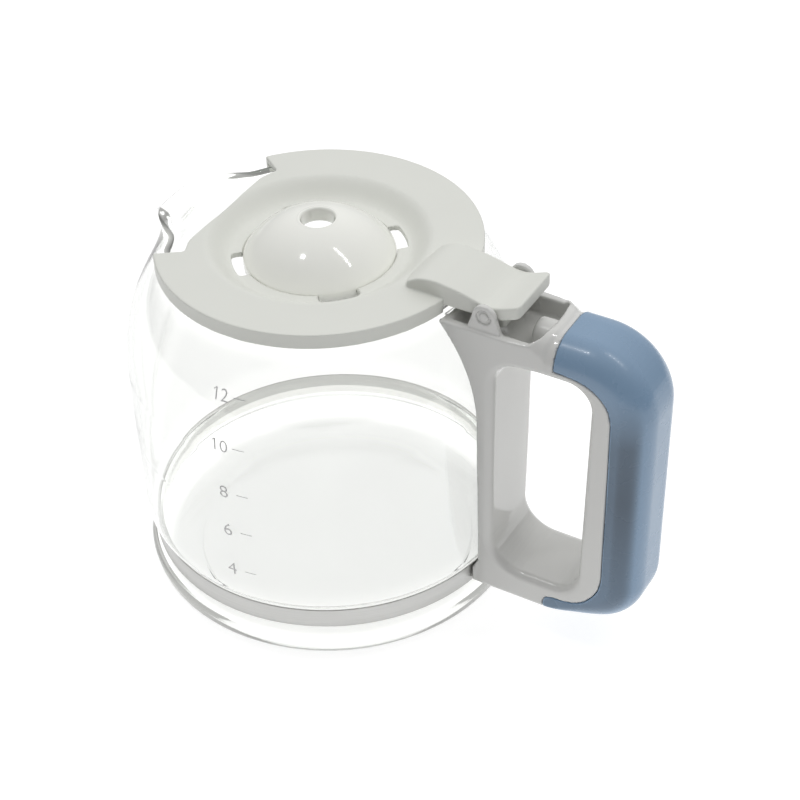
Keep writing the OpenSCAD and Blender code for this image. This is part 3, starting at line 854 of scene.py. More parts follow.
@dataclass
class GlassJug:
    """The blown jug with its pouring lip."""

    belly_r: float = 74.0
    foot_r: float = 73.4
    rim_z: float = 136.2
    shoulder_z: float = 94.0
    shoulder_r: float = 65.5
    wall: float = 2.2
    rim_round: float = 1.2
    lip_low: float = 118.0
    lip_rise: float = 5.7
    covered_rise: float = 3.6
    flank: Point2 = (24.0, 34.0)
    covered: Point2 = (44.0, 66.0)
    beak_out: float = 10.0
    beak: Point2 = (9.0, 30.0)
    beak_dip: float = 8.3
    tip_half: float = 11.0
    beak_curl: float = 4.0

    def wall_line(self, corners: Sequence[Point3], r: float) -> list[Point2]:
        """One side of the glass, from the axis to the rim.

        Args:
            corners: Corners up to the shoulder, with the rounding at each.
            r: Radius of the shoulder's arc on this side.

        Returns:
            The points in order.
        """
        top = math.degrees(math.asin((self.rim_z - self.rim_round - self.shoulder_z) / r))
        shoulder = arc(self.belly_r - self.shoulder_r, self.shoulder_z, r, 0.0, top, 34)
        return filleted(corners, 7) + shoulder[1:]

    def outside(self) -> list[Point2]:
        """The outer section.

        Returns:
            Points from the axis to the rim.
        """
        return self.wall_line([
            (0.0, 0.0, 0.0), (53.9, 0.0, 0.7), (54.9, 0.5, 0.7), (self.foot_r, 0.5, 9.1), (73.3, 11.6, 5.5),
            (69.9, 16.2, 3.0), (69.9, 24.6, 3.0), (self.foot_r, 29.3, 6.0), (73.6, 40.0, 30.0),
            (self.belly_r, 66.0, 60.0), (self.belly_r, self.shoulder_z, 0.0),
        ], self.shoulder_r)

    def inside(self) -> list[Point2]:
        """The inner section.

        Returns:
            Points from the rim to the axis.
        """
        return self.wall_line([
            (0.0, 2.9, 0.0), (53.4, 2.9, 1.6), (55.0, 3.4, 1.6), (71.3, 3.4, 7.2), (71.2, 12.3, 4.5),
            (67.8, 16.9, 3.4), (67.8, 24.0, 3.4), (71.3, 28.7, 4.5), (71.5, 40.0, 30.0), (71.8, 66.0, 60.0),
            (71.8, self.shoulder_z, 0.0),
        ], self.shoulder_r - self.wall)[::-1]

    def section(self) -> list[Point2]:
        """The whole section, with a fire-rounded rim.

        Returns:
            Points from the axis over the rim and back to the axis.
        """
        outer, inner = self.outside(), self.inside()
        middle = ((outer[-1][0] + inner[0][0]) / 2.0, (outer[-1][1] + inner[0][1]) / 2.0)
        r = math.hypot(outer[-1][0] - middle[0], outer[-1][1] - middle[1])
        start = math.degrees(math.atan2(outer[-1][1] - middle[1], outer[-1][0] - middle[0]))
        return outer + arc(middle[0], middle[1], r, start, start + 180.0, 10)[1:-1] + inner

    def angles(self) -> Array:
        """Angles of the mesh, closer together at the lip.

        Returns:
            The angles in radians.
        """
        lip = np.linspace(140.0, 220.0, 121)
        rest = np.linspace(220.0, 500.0, 201)[1:-1]
        return np.radians(np.concatenate([lip, rest]))

    def shoulder(self, z: Array) -> Array:
        """Radius of the middle of the wall on the shoulder's arc, at heights z."""
        middle = self.shoulder_r - self.wall / 2.0
        return self.belly_r - self.shoulder_r + np.sqrt(middle**2 - (z - self.shoulder_z) ** 2)

    def lip(self, r: Array, z: Array, turn: Array) -> tuple[Array, Array]:
        """Carries the wall up to the raised lip and draws the beak out of it.

        Args:
            r: Radii of points on the turned glass.
            z: Their heights.
            turn: Their angles from the lip's middle, in degrees.

        Returns:
            The new radii and heights.
        """
        away = np.abs(turn)
        edge = self.rim_z + (self.lip_rise - self.covered_rise) * (1.0 - ease(*self.flank, away))
        edge = edge + self.covered_rise * (1.0 - ease(*self.covered, away))
        edge = edge - self.beak_dip * (1.0 - ease(0.0, self.tip_half, away))
        share = np.clip((z - self.lip_low) / (self.rim_z - self.lip_low), 0.0, 1.1)
        height = np.where(share > 0.0, self.lip_low + share * (edge - self.lip_low), z)
        push = self.beak_out * (1.0 - ease(*self.beak, away)) * np.minimum(share, 1.0) ** self.beak_curl
        low, high = np.maximum(z, self.lip_low), np.maximum(height, self.lip_low)
        return r + self.shoulder(high) - self.shoulder(low) + push, height

    def build(self, finishes: FinishSet) -> Piece:
        """Builds the jug.

        Args:
            finishes: The server's finishes.

        Returns:
            The piece.
        """
        points, faces = turned_mesh(self.section(), self.angles(), False)
        r = np.hypot(points[:, 0], points[:, 1])
        turn = np.degrees(np.arctan2(points[:, 1], -points[:, 0]))
        grown, points[:, 2] = self.lip(r, points[:, 2].copy(), turn)
        points[:, :2] *= np.where(r > 1e-6, grown / np.maximum(r, 1e-6), 1.0)[:, None]
        piece = new_piece("blown_glass_jug", points, faces)
        return dress(piece, finishes.glass, Body.JUG, Slot.GLASS, "glass_jug")


@dataclass
class CupMarks:
    """The printed cup marks on the glass."""

    polar: float = -82.3
    marks: tuple[tuple[str, float, float], ...] = (
        ("4", 41.5, 5.5), ("6", 60.7, 5.5), ("8", 78.8, 5.3), ("10", 99.9, 4.9), ("12", 119.0, 4.4),
    )
    tick: Point2 = (4.6, 0.3)
    numeral_u: float = -7.5
    lift: float = 0.06

    def wrap(self, u: Array, v: Array, jug: GlassJug) -> Array:
        """Lays flat print onto the glass.

        Args:
            u: Distances along the print, to the right.
            v: Heights on the glass.
            jug: The jug that carries the print.

        Returns:
            Points in millimetres.
        """
        line = np.array(jug.outside())
        line = line[line[:, 1] > 30.0]
        r = np.interp(v, line[:, 1], line[:, 0]) + self.lift
        a = math.radians(self.polar) + u / r
        return np.stack([r * np.cos(a), r * np.sin(a), v], axis=1)

    def numeral(self, text: str, tall: float) -> tuple[Array, Faces]:
        """Flat mesh of a number, centred on u = 0 and v = 0.

        Args:
            text: The number.
            tall: Its height.

        Returns:
            Flat points (u, v) and faces.
        """
        curve = bpy.data.curves.new("numeral", "FONT")
        curve.body = text
        curve.align_x = "CENTER"
        curve.offset = -0.008
        curve.resolution_u = 6
        holder = bpy.data.objects.new("numeral", curve)
        bpy.context.scene.collection.objects.link(holder)
        bpy.context.view_layer.update()
        mesh = bpy.data.meshes.new_from_object(holder.evaluated_get(bpy.context.evaluated_depsgraph_get()))
        work = bmesh.new()
        work.from_mesh(mesh)
        bmesh.ops.remove_doubles(work, verts=work.verts, dist=1e-5)
        bmesh.ops.subdivide_edges(work, edges=work.edges, cuts=1)
        points = np.array([v.co[:2] for v in work.verts])
        work.verts.index_update()
        faces = [[v.index for v in f.verts] for f in work.faces]
        work.free()
        bpy.data.objects.remove(holder)
        bpy.data.curves.remove(curve)
        bpy.data.meshes.remove(mesh)
        low, high = points[:, 1].min(), points[:, 1].max()
        scale = tall / (high - low)
        flat = np.stack([points[:, 0] * scale, (points[:, 1] - (low + high) / 2.0) * scale], axis=1)
        if text.startswith("1"):
            left, top = flat[:, 0].min(), tall / 2.0
            flag = np.array([(0.09, 0.0), (0.0, 0.0), (-0.2, -0.19), (-0.16, -0.25)]) * tall + (left, top)
            faces.append([len(flat) + i for i in range(4)])
            flat = np.concatenate([flat, flag])
        return flat, faces

    def build(self, finishes: FinishSet, jug: GlassJug) -> Piece:
        """Builds the print.

        Args:
            finishes: The server's finishes.
            jug: The jug that carries the print.

        Returns:
            The piece.
        """
        points: list[Array] = []
        faces: Faces = []
        total = 0
        for text, z, tall in self.marks:
            flat, rows = self.numeral(text, tall)
            points.append(self.wrap(flat[:, 0] + self.numeral_u, flat[:, 1] + z, jug))
            faces += [[i + total for i in row] for row in rows]
            total += len(flat)
            u = np.linspace(-self.tick[0] / 2.0, self.tick[0] / 2.0, 9)
            for edge in (z - self.tick[1] / 2.0, z + self.tick[1] / 2.0):
                points.append(self.wrap(u, np.full(9, edge), jug))
            faces += [[total + i, total + i + 1, total + 10 + i, total + 9 + i] for i in range(8)]
            total += 18
        piece = new_piece("printed_cup_marks", np.concatenate(points), faces)
        body = piece.modifiers.new("ink_thickness", "SOLIDIFY")
        body.thickness = 0.03 * MM
        body.offset = 1.0
        return dress(piece, finishes.ink, Body.JUG, None)


@dataclass
class ClampBand:
    """The steel strip in the jug's groove, with its two ears."""

    inner_r: float = 70.3
    thickness: float = 0.6
    low: float = 16.2
    width: float = 8.2
    ear_y: float = 4.7
    ear_end: float = 84.4
    ear_width: float = 5.0
    bend: float = 1.6

    def route(self) -> tuple[Array, Array]:
        """Middle line of the strip in plan and its width at each point.

        Returns:
            Points (x, y) and widths.
        """
        r = self.inner_r + self.thickness / 2.0
        centre_y = self.ear_y + self.bend
        reach = math.sqrt((r + self.bend) ** 2 - centre_y**2)
        away = math.degrees(math.atan2(centre_y, reach))
        half = [(self.ear_end, self.ear_y), (self.ear_end - 4.0, self.ear_y), (reach + 0.4, self.ear_y)]
        half += arc(reach, centre_y, self.bend, -90.0, -180.0 + away, 6)
        half += arc(0.0, 0.0, r, away, 180.0, 110)[1:]
        line = np.array(half + [(x, -y) for x, y in half[-2::-1]])
        share = ease(72.0, 78.0, line[:, 0])
        return line, self.width + (self.ear_width - self.width) * share

    def build(self, finishes: FinishSet) -> Piece:
        """Builds the band.

        Args:
            finishes: The server's finishes.

        Returns:
            The piece.
        """
        line, widths = self.route()
        along = np.gradient(line, axis=0)
        along /= np.linalg.norm(along, axis=1)[:, None]
        side = np.stack([along[:, 1], -along[:, 0]], axis=1)
        round_r, t = 0.22, self.thickness / 2.0
        middle = self.low + self.width / 2.0
        rings: list[Array] = []
        for (x, y), n, w in zip(line, side, widths):
            corner = [
                (t - round_r, w / 2.0 - round_r, 0.0), (round_r - t, w / 2.0 - round_r, 90.0),
                (round_r - t, round_r - w / 2.0, 180.0), (t - round_r, round_r - w / 2.0, 270.0),
            ]
            loop = [q for cx, cy, a in corner for q in arc(cx, cy, round_r, a, a + 90.0, 3)]
            rings.append(np.array([(x + n[0] * u, y + n[1] * u, middle + v) for u, v in loop]))
        count = len(rings[0])
        loops = [[i * count + k for k in range(count)] for i in range(len(rings))]
        faces = ring_faces(list(zip(loops, loops[1:])), count)
        faces += [loops[0], loops[-1][::-1]]
        piece = new_piece("drawn_clamp_band", np.concatenate(rings), [f[::-1] for f in faces])
        return dress(piece, finishes.band, Body.JUG, Slot.BAND, "clamp_band")


@dataclass
class HandleForm:
    """The outer form that the frame and the grip shell share."""

    top: float = 138.7
    low: float = 16.3
    palm_top: float = 137.2
    palm_low: float = 136.0
    top_corner: float = 26.0
    low_corner: float = 21.0
    palm_edge: float = 10.4
    arm_edge: float = 2.0
    half: float = 15.2
    spine_half: float = 16.3
    seam_x: float = 101.6
    flare_x: Point2 = (83.0, 97.0)
    flare_z: Point2 = (24.0, 80.0)
    split_z: Point2 = (60.0, 100.0)
    high_edge_x: Point2 = (88.0, 100.0)
    low_edge_x: Point2 = (100.0, 122.0)

    def outline(self) -> list[Point2]:
        """Side view of the whole handle, filled.

        Returns:
            The closed outline.
        """
        low, top = self.low_corner, self.top_corner
        return [
            (40.0, self.top), (40.0, self.low),
            *arc(self.palm_low - low, self.low + low, low, -90.0, 0.0, 16),
            *arc(self.palm_top - top, self.top - top, top, 0.0, 90.0, 20),
        ]

    def shell_share(self) -> list[Point2]:
        """Side view of the grip shell's share of the handle.

        Returns:
            The closed outline.
        """
        upper = [
            (self.seam_x, 127.9), (108.6, 127.6), (114.7, 126.0), (119.6, 122.6), (122.5, 118.2),
            (123.7, 112.5),
        ]
        lower = [
            (122.9, 41.0), (121.5, 34.0), (117.3, 27.5), (112.3, 24.2), (107.1, 23.1), (102.6, 22.7),
            (100.5, 21.6), (99.7, 19.6),
        ]
        seam = [*curve_through(upper, 3), *curve_through(lower, 3)]
        return [(self.seam_x, 220.0), *seam, (99.7, -60.0), (220.0, -60.0), (220.0, 220.0)]

    def finger_gap(self) -> list[Point2]:
        """Side view of the finger gap.

        Returns:
            The closed outline.
        """
        return [
            *arc(90.6, 41.4, 12.8, 182.0, 270.0, 12), *arc(103.0, 38.8, 10.2, 270.0, 358.0, 12),
            *arc(106.2, 114.8, 9.4, 0.0, 90.0, 12), *arc(88.0, 115.4, 8.8, 90.0, 180.0, 10),
        ]

    def envelope(self, x: Array, y: Array, z: Array, inset: float = 0.0) -> Array:
        """Distance to the outer form.

        Args:
            x: X coordinates.
            y: Y coordinates.
            z: Z coordinates.
            inset: How far to draw every face in.

        Returns:
            The distance.
        """
        flare = (1.0 - ease(*self.flare_x, x)) * ease(*self.flare_z, z)
        half = self.half + (self.spine_half - self.half) * flare
        high = ease(*self.split_z, z)
        share = high * ease(*self.high_edge_x, x) + (1.0 - high) * ease(*self.low_edge_x, x)
        edge = self.arm_edge + (self.palm_edge - self.arm_edge) * share
        return both(outline_distance(self.outline(), x, z), np.abs(y) - half, edge) + inset


@dataclass
class GripShell:
    """The coloured shell round the palm side of the handle."""

    form: HandleForm
    wall: float = 2.4
    screw_x: float = 109.5
    screw_y: float = 7.5
    screw_z: float = 18.0
    hole_r: float = 2.9
    step: Point3 = (0.72, 0.72, 0.72)

    def distance(self, x: Array, y: Array, z: Array) -> Array:
        """Distance to the shell.

        Args:
            x: X coordinates.
            y: Y coordinates.
            z: Z coordinates.

        Returns:
            The distance.
        """
        outer = self.form.envelope(x, y, z)
        shell = both(outer, outline_distance(self.form.shell_share(), x, z), 0.45)
        shell = cut(shell, outer + self.wall, 0.3)
        hole = np.hypot(x - self.screw_x, np.abs(y) - self.screw_y) - self.hole_r
        return cut(shell, np.maximum(hole, z - self.screw_z), 0.3)

    def build(self, finishes: FinishSet) -> Piece:
        """Builds the shell.

        Args:
            finishes: The server's finishes.

        Returns:
            The piece.
        """
        mesh = polygonise(self.distance, (99.0, -15.4, 15.9), (138.0, 15.4, 139.4), self.step)
        return dress(new_piece("moulded_grip_shell", *mesh), finishes.blue, Body.JUG, Slot.BLUE, "grip_shell")


@dataclass
class HandleFrame:
    """The white frame: spine, cheeks with lugs, thumb well and the finger side of the grip."""

    form: HandleForm
    jug: GlassJug
    seam: float = 0.22
    glass_gap: float = 0.4
    gap_edge: float = 3.2
    wall_top: float = 135.6
    arm_x: Point2 = (91.0, 97.5)
    arm_z: Point2 = (126.0, 134.0)
    bead: Point2 = (2.4, 4.2)
    well_half: float = 12.95
    well_floor: float = 127.7
    well_end: float = 96.2
    well_crown: float = 1.7
    hinge: Point2 = (75.0, 141.36)
    lug_r: float = 4.6
    lug_y: Point2 = (12.9, 15.1)
    lug_flare: float = 0.34
    pin_recess_r: float = 2.75
    fixing_z: float = 131.0
    boss_x: Point2 = (92.6, 4.4)
    boss_r: float = 5.6
    post_x: float = 65.0
    post_r: float = 3.0
    band_z: float = 20.3
    band_room: Point3 = (9.4, 5.6, 3.1)
    driver_r: float = 3.5
    driver_x: float = 90.7
    step: Point3 = (0.78, 0.78, 0.78)

    def glass(self, x: Array, y: Array, z: Array, gap: float) -> Array:
        """Distance to the room that the glass and the band take.

        Args:
            x: X coordinates.
            y: Y coordinates.
            z: Z coordinates.
            gap: Room kept round the glass.

        Returns:
            The distance.
        """
        j = self.jug
        line: list[Point2] = [
            (-5.0, -5.0), (71.15, -5.0), (71.15, 23.8), (j.foot_r, 28.2), (73.7, 44.0), (j.belly_r, 66.0),
            *arc(j.belly_r - j.shoulder_r, j.shoulder_z, j.shoulder_r, 0.0, 40.1, 20),
            (58.6, 170.0), (-5.0, 170.0),
        ]
        return outline_distance(line, np.hypot(x, y), z) - gap

    def well_back(self, y: Array) -> Array:
        """Where the thumb well ends, at places y across the handle."""
        return self.well_end - self.well_crown * (y / self.well_half) ** 2

    def well(self, x: Array, y: Array, z: Array) -> Array:
        """Distance to the thumb well.

        Args:
            x: X coordinates.
            y: Y coordinates.
            z: Z coordinates.

        Returns:
            The distance.
        """
        room = both(np.abs(y) - self.well_half, self.well_floor - z, 2.4)
        room = both(room, x - self.well_back(y), 2.6)
        return both(room, -self.glass(x, y, z, self.glass_gap + 2.4), 1.5)

    def lugs(self, x: Array, y: Array, z: Array) -> Array:
        """Distance to the two lugs.

        Args:
            x: X coordinates.
            y: Y coordinates.
            z: Z coordinates.

        Returns:
            The distance.
        """
        hx, hz = self.hinge
        width = self.lug_r + self.lug_flare * np.maximum(hz - z, 0.0)
        flare = np.maximum(np.abs(x - hx) - width, np.abs(z - hz + 7.0) - 7.0)
        side = np.minimum(np.hypot(x - hx, z - hz) - self.lug_r, flare)
        middle, half = sum(self.lug_y) / 2.0, (self.lug_y[1] - self.lug_y[0]) / 2.0
        lug = both(side, np.abs(np.abs(y) - middle) - half, 0.5)
        recess = np.maximum(np.hypot(x - hx, z - hz) - self.pin_recess_r, self.lug_y[1] - 0.7 - np.abs(y))
        return cut(lug, recess, 0.25)

    def distance(self, x: Array, y: Array, z: Array) -> Array:
        """Distance to the frame.

        Args:
            x: X coordinates.
            y: Y coordinates.
            z: Z coordinates.

        Returns:
            The distance.
        """
        body = self.form.envelope(x, y, z, 0.02)
        arm = ease(*self.arm_x, x)
        bead = 1.0 - ease(*self.bead, x - self.well_back(y))
        top = self.wall_top + (self.form.top + 1.0 - self.wall_top) * arm
        body = both(body + 0.6 * (1.0 - bead) * arm * ease(*self.arm_z, z), z - top, 0.9)
        body = cut(body, outline_distance(self.form.shell_share(), x, z) - self.seam, 0.35)
        body = cut(body, self.well(x, y, z), 0.8)
        body = joined(body, self.lugs(x, y, z), 0.5)
        middle, half = self.boss_x
        boss = both(np.hypot(y, z - self.fixing_z) - self.boss_r, np.abs(x - middle) - half, 1.6)
        body = joined(body, boss, 0.8)
        post = both(np.hypot(x - self.post_x, y) - self.post_r, np.abs(z - self.fixing_z) - 5.5, 0.4)
        body = joined(body, post, 0.8)
        body = cut(body, outline_distance(self.form.finger_gap(), x, z), self.gap_edge)
        body = cut(body, self.glass(x, y, z, self.glass_gap), 0.6)
        length, width, height = self.band_room
        room = np.maximum(np.abs(y) - width, np.abs(z - self.band_z) - height)
        room = np.maximum(room, np.abs(x - 79.0) - length)
        driver = np.maximum(np.hypot(y, z - self.band_z) - self.driver_r, self.driver_x - x)
        return cut(cut(body, room, 0.3), driver, 0.3)

    def build(self, finishes: FinishSet) -> Piece:
        """Builds the frame.

        Args:
            finishes: The server's finishes.

        Returns:
            The piece.
        """
        mesh = polygonise(self.distance, (54.4, -16.6, 15.9), (124.0, 16.6, 147.0), self.step)
        piece = new_piece("moulded_handle_frame", *mesh)
        return dress(piece, finishes.white, Body.JUG, Slot.WHITE, "handle_frame")


@dataclass
class LidPlate:
    """The matte lid: rim, dish, moat, drain slots, cut-out at the lip, lever and knuckle."""

    rim_r: float = 59.6
    top: float = 142.3
    low: float = 136.56
    plate: float = 2.2
    moat_z: float = 136.3
    seat_r: float = 28.0
    dish: Point2 = (32.2, 41.8)
    notch_x: float = 40.3
    notch_angle: float = 36.2
    plug_r: float = 50.6
    plug_z: Point2 = (136.6, 4.0)
    lever_half: float = 12.5
    lever_tip: float = 87.4
    nose_r: float = 27.2
    heel_half: float = 10.4
    barrel_r: float = 3.1
    bore_r: float = 1.85
    slot_r: float = 30.0
    slot_half: float = 2.0
    slot_reach: float = 7.4
    hinge: Point2 = (75.0, 141.36)
    edge: float = 0.4
    step: Point3 = (0.68, 0.68, 0.52)

    def section(self) -> list[Point2]:
        """Half section of the plate, drawn in by the edge radius.

        Returns:
            The closed section.
        """
        e, skirt = self.edge, self.rim_r - self.plate + self.edge
        r = np.linspace(self.dish[0], self.dish[1], 14)
        fall = self.moat_z + (self.top - self.moat_z) * ease(self.dish[0], self.dish[1], r)
        upper = [(float(a), float(b) - e) for a, b in zip(r, fall)]
        lower = [(float(a) + 0.35, float(b) - self.plate + e) for a, b in zip(r, fall)]
        return [
            (self.seat_r + e, self.moat_z - e), *upper, (self.rim_r - e, self.top - e),
            (self.rim_r - e, self.low + e), (skirt, self.low + e), (skirt, self.top - self.plate + e),
            *lower[::-1], (self.seat_r + e, self.moat_z - self.plate + e),
        ]

    def notch(self, x: Array, y: Array) -> Array:
        """Distance to the cut-out behind the pouring lip, in plan.

        Args:
            x: X coordinates.
            y: Y coordinates.

        Returns:
            The distance.
        """
        turn = math.radians(self.notch_angle)
        far = (-140.0 * math.cos(turn), 140.0 * math.sin(turn))
        corner, bend = (-37.6, 30.4), (-self.notch_x, 24.0)
        half = filleted([(-self.notch_x, 0.0, 0.0), (*bend, 10.0), (*corner, 1.6), (*far, 0.0)], 5)
        return outline_distance([(a, -b) for a, b in half[::-1]] + half[1:], x, y)

    def lever_top(self) -> list[Point2]:
        """Side view of the lever's upper side.

        Returns:
            The line from the nose to the tip.
        """
        return curve_through([
            (39.6, 140.9), (41.6, 142.5), (44.1, 144.9), (48.2, 147.3), (53.7, 148.2), (58.6, 147.8),
            (64.9, 146.8), (71.5, 145.1), (75.9, 144.5), (80.0, 145.2), (84.4, 146.8), (86.6, 147.6),
        ], 5)

    def lever(self, x: Array, y: Array, z: Array) -> Array:
        """Distance to the lever.

        Args:
            x: X coordinates.
            y: Y coordinates.
            z: Z coordinates.

        Returns:
            The distance.
        """
        r = 0.7
        under = [(86.6, 143.2), (83.6, 142.4), (80.6, 141.0), (76.0, 140.6), (57.0, 140.2), (45.0, 140.6)]
        side = outline_distance([(a, b - r) for a, b in self.lever_top()] + under, x, z) - r
        half, tip, nose_r = self.lever_half, self.lever_tip, self.nose_r
        plan = filleted([(60.0, -half, 0.0), (tip, -half, 2.6), (tip, half, 2.6), (60.0, half, 0.0)], 6)
        nose = math.degrees(math.asin(half / nose_r))
        plan += arc(40.5 + nose_r, 0.0, nose_r, 180.0 - nose, 180.0 + nose, 16)
        flat = outline_distance(plan, x, y)
        skirt = np.maximum(np.abs(x - 66.0) - 9.0, np.abs(z - 141.5) - 2.0)
        skirt = np.maximum(skirt, half - self.plate - np.abs(y))
        return both(np.minimum(side, skirt), flat, 0.8)

    def knuckle(self, x: Array, y: Array, z: Array) -> Array:
        """Distance to the knuckle and its heel.

        Args:
            x: X coordinates.
            y: Y coordinates.
            z: Z coordinates.

        Returns:
            The distance.
        """
        hx, hz = self.hinge
        heel_line = [
            (hx, hz - 4.6), (78.4, 135.8), (80.4, 137.0), (81.0, 142.4), (hx - 4.0, 142.4), (hx - 4.4, hz),
        ]
        heel = outline_distance(heel_line, x, z) - 0.7
        barrel = both(np.hypot(x - hx, z - hz) - self.barrel_r, np.abs(y) - self.lever_half, 0.7)
        return np.minimum(barrel, both(heel, np.abs(y) - self.heel_half, 0.9))

    def distance(self, x: Array, y: Array, z: Array) -> Array:
        """Distance to the lid.

        Args:
            x: X coordinates.
            y: Y coordinates.
            z: Z coordinates.

        Returns:
            The distance.
        """
        r = np.hypot(x, y)
        notch = self.notch(x, y)
        lid = outline_distance(self.section(), r, z) - self.edge
        plug = both(np.abs(r - self.plug_r) - 1.0, np.abs(z - self.plug_z[0]) - self.plug_z[1], 0.5)
        lid = joined(lid, plug, 0.4)
        wall = np.maximum(np.maximum(notch - self.plate, r - self.plug_r), np.abs(z - 136.1) - 1.7)
        lid = np.minimum(lid, wall)
        lid = cut(lid, notch, 0.4)
        under = np.maximum(np.maximum(np.abs(y) - self.lever_half, 47.0 - x), z - 139.7)
        lid = cut(lid, under, 0.3)
        lid = joined(lid, self.lever(x, y, z), 0.6)
        lid = joined(lid, self.knuckle(x, y, z), 0.4)
        turn = np.abs(np.mod(np.degrees(np.arctan2(y, x)), 90.0) - 45.0)
        slot = both(np.abs(r - self.slot_r) - self.slot_half, np.radians(turn) * r - self.slot_reach, 1.3)
        lid = cut(lid, np.maximum(slot, np.abs(z - 136.0) - 6.0), 0.3)
        return cut(lid, np.hypot(x - self.hinge[0], z - self.hinge[1]) - self.bore_r, 0.2)

    def build(self, finishes: FinishSet) -> Piece:
        """Builds the lid.

        Args:
            finishes: The server's finishes.

        Returns:
            The piece.
        """
        mesh = polygonise(self.distance, (-52.0, -60.0, 132.4), (87.6, 60.0, 148.8), self.step)
        return dress(new_piece("moulded_lid_plate", *mesh), finishes.lid, Body.LID, Slot.LID, "lid_plate")


@dataclass
class LidDome:
    """The glossy dome with its drip hole, collar and snap tabs."""

    ball_r: float = 33.26
    ball_z: float = 118.0
    foot_r: float = 27.8
    foot_z: float = 136.26
    wall: float = 2.0
    hole_r: float = 6.2
    collar_low: float = 144.7
    skirt_low: float = 132.1

    def height(self, r: float, inset: float) -> float:
        """Height of the ball at a radius, drawn in by inset."""
        return self.ball_z + math.sqrt((self.ball_r - inset) ** 2 - r * r)

    def section(self) -> list[Point2]:
        """Closed section of the dome.

        Returns:
            Points from the foot over the top, down the collar and back along the inside.
        """
        hole, foot, wall = self.hole_r, self.foot_r, self.wall
        outer = [(r, self.height(r, 0.0)) for r in np.linspace(foot - 0.25, hole + 1.1, 40)]
        inner = [(r, self.height(r, wall)) for r in np.linspace(hole + 3.2, foot - wall, 24)]
        lip = arc(hole + 0.9, self.height(hole + 0.9, 0.0) - 0.9, 0.9, 80.0, 180.0, 8)
        collar_line = ((0.0, 0.5), (0.4, 0.0), (1.5, 0.0), (1.9, 0.5))
        collar = [(hole + dr, self.collar_low + dz) for dr, dz in collar_line]
        join = [(hole + dr, self.height(hole + dr, wall) - drop) for dr, drop in ((2.0, 1.2), (2.4, 0.4))]
        skirt_line = ((-wall, 0.4), (0.4 - wall, 0.0), (-0.4, 0.0), (0.0, 0.4))
        skirt = [(foot + dr, self.skirt_low + dz) for dr, dz in skirt_line]
        return outer + lip + collar + join + inner + skirt + [(foot, self.foot_z - 0.3)]

    def tabs(self) -> tuple[Array, Faces]:
        """Four snap tabs on the skirt.

        Returns:
            Vertices in millimetres and faces.
        """
        points: list[Point3] = []
        faces: Faces = []
        profile = [(-0.4, 0.05), (1.5, 0.25), (1.9, 0.6), (1.9, 1.1), (1.6, 1.35), (-0.4, 1.4)]
        rows = [(self.foot_r + dr, self.skirt_low + dz) for dr, dz in profile]
        n = len(rows)
        for k in range(4):
            turns = np.radians(k * 90.0 + np.linspace(-12.0, 12.0, 13))
            loops = [list(range(len(points) + i * n, len(points) + (i + 1) * n)) for i in range(len(turns))]
            points += [(r * math.cos(a), r * math.sin(a), z) for a in turns for r, z in rows]
            for a, b in zip(loops, loops[1:]):
                faces += [[a[j], a[(j + 1) % n], b[(j + 1) % n], b[j]] for j in range(n)]
            faces += [loops[0][::-1], loops[-1]]
        return np.array(points), faces

    def build(self, finishes: FinishSet) -> Piece:
        """Builds the dome.

        Args:
            finishes: The server's finishes.

        Returns:
            The piece.
        """
        points, faces = turned_mesh(self.section(), full_turn(160), True)
        more, rows = self.tabs()
        faces = faces + [[i + len(points) for i in row] for row in rows]
        piece = new_piece("moulded_lid_dome", np.concatenate([points, more]), faces)
        work = bmesh.new()
        work.from_mesh(piece.data)
        bmesh.ops.recalc_face_normals(work, faces=work.faces)
        work.to_mesh(piece.data)
        work.free()
        return dress(piece, finishes.dome, Body.LID, Slot.DOME, "lid_dome")


@dataclass
class HingePin:
    """The pin of the lid's hinge, with rounded ends."""

    place: Point2 = (75.0, 141.36)
    r: float = 1.75
    half: float = 15.0

    def build(self, finishes: FinishSet) -> Piece:
        """Builds the pin.

        Args:
            finishes: The server's finishes.

        Returns:
            The piece.
        """
        edge = self.half - 0.6
        end = [(self.r, edge), *arc(self.r - 0.6, edge, 0.6, 10.0, 80.0, 5), (self.r - 0.7, self.half)]
        end.append((0.0, self.half + 0.12))
        section = [(a, -b) for a, b in end[::-1]] + end
        points, faces = turned_mesh(section, full_turn(40), False)
        x, z = self.place
        points = np.stack([points[:, 0] + x, points[:, 2], points[:, 1] + z], axis=1)
        piece = new_piece("hinge_pin_rod", points, [f[::-1] for f in faces])
        return dress(piece, finishes.white, Body.JUG, Slot.WHITE, "hinge_pin")


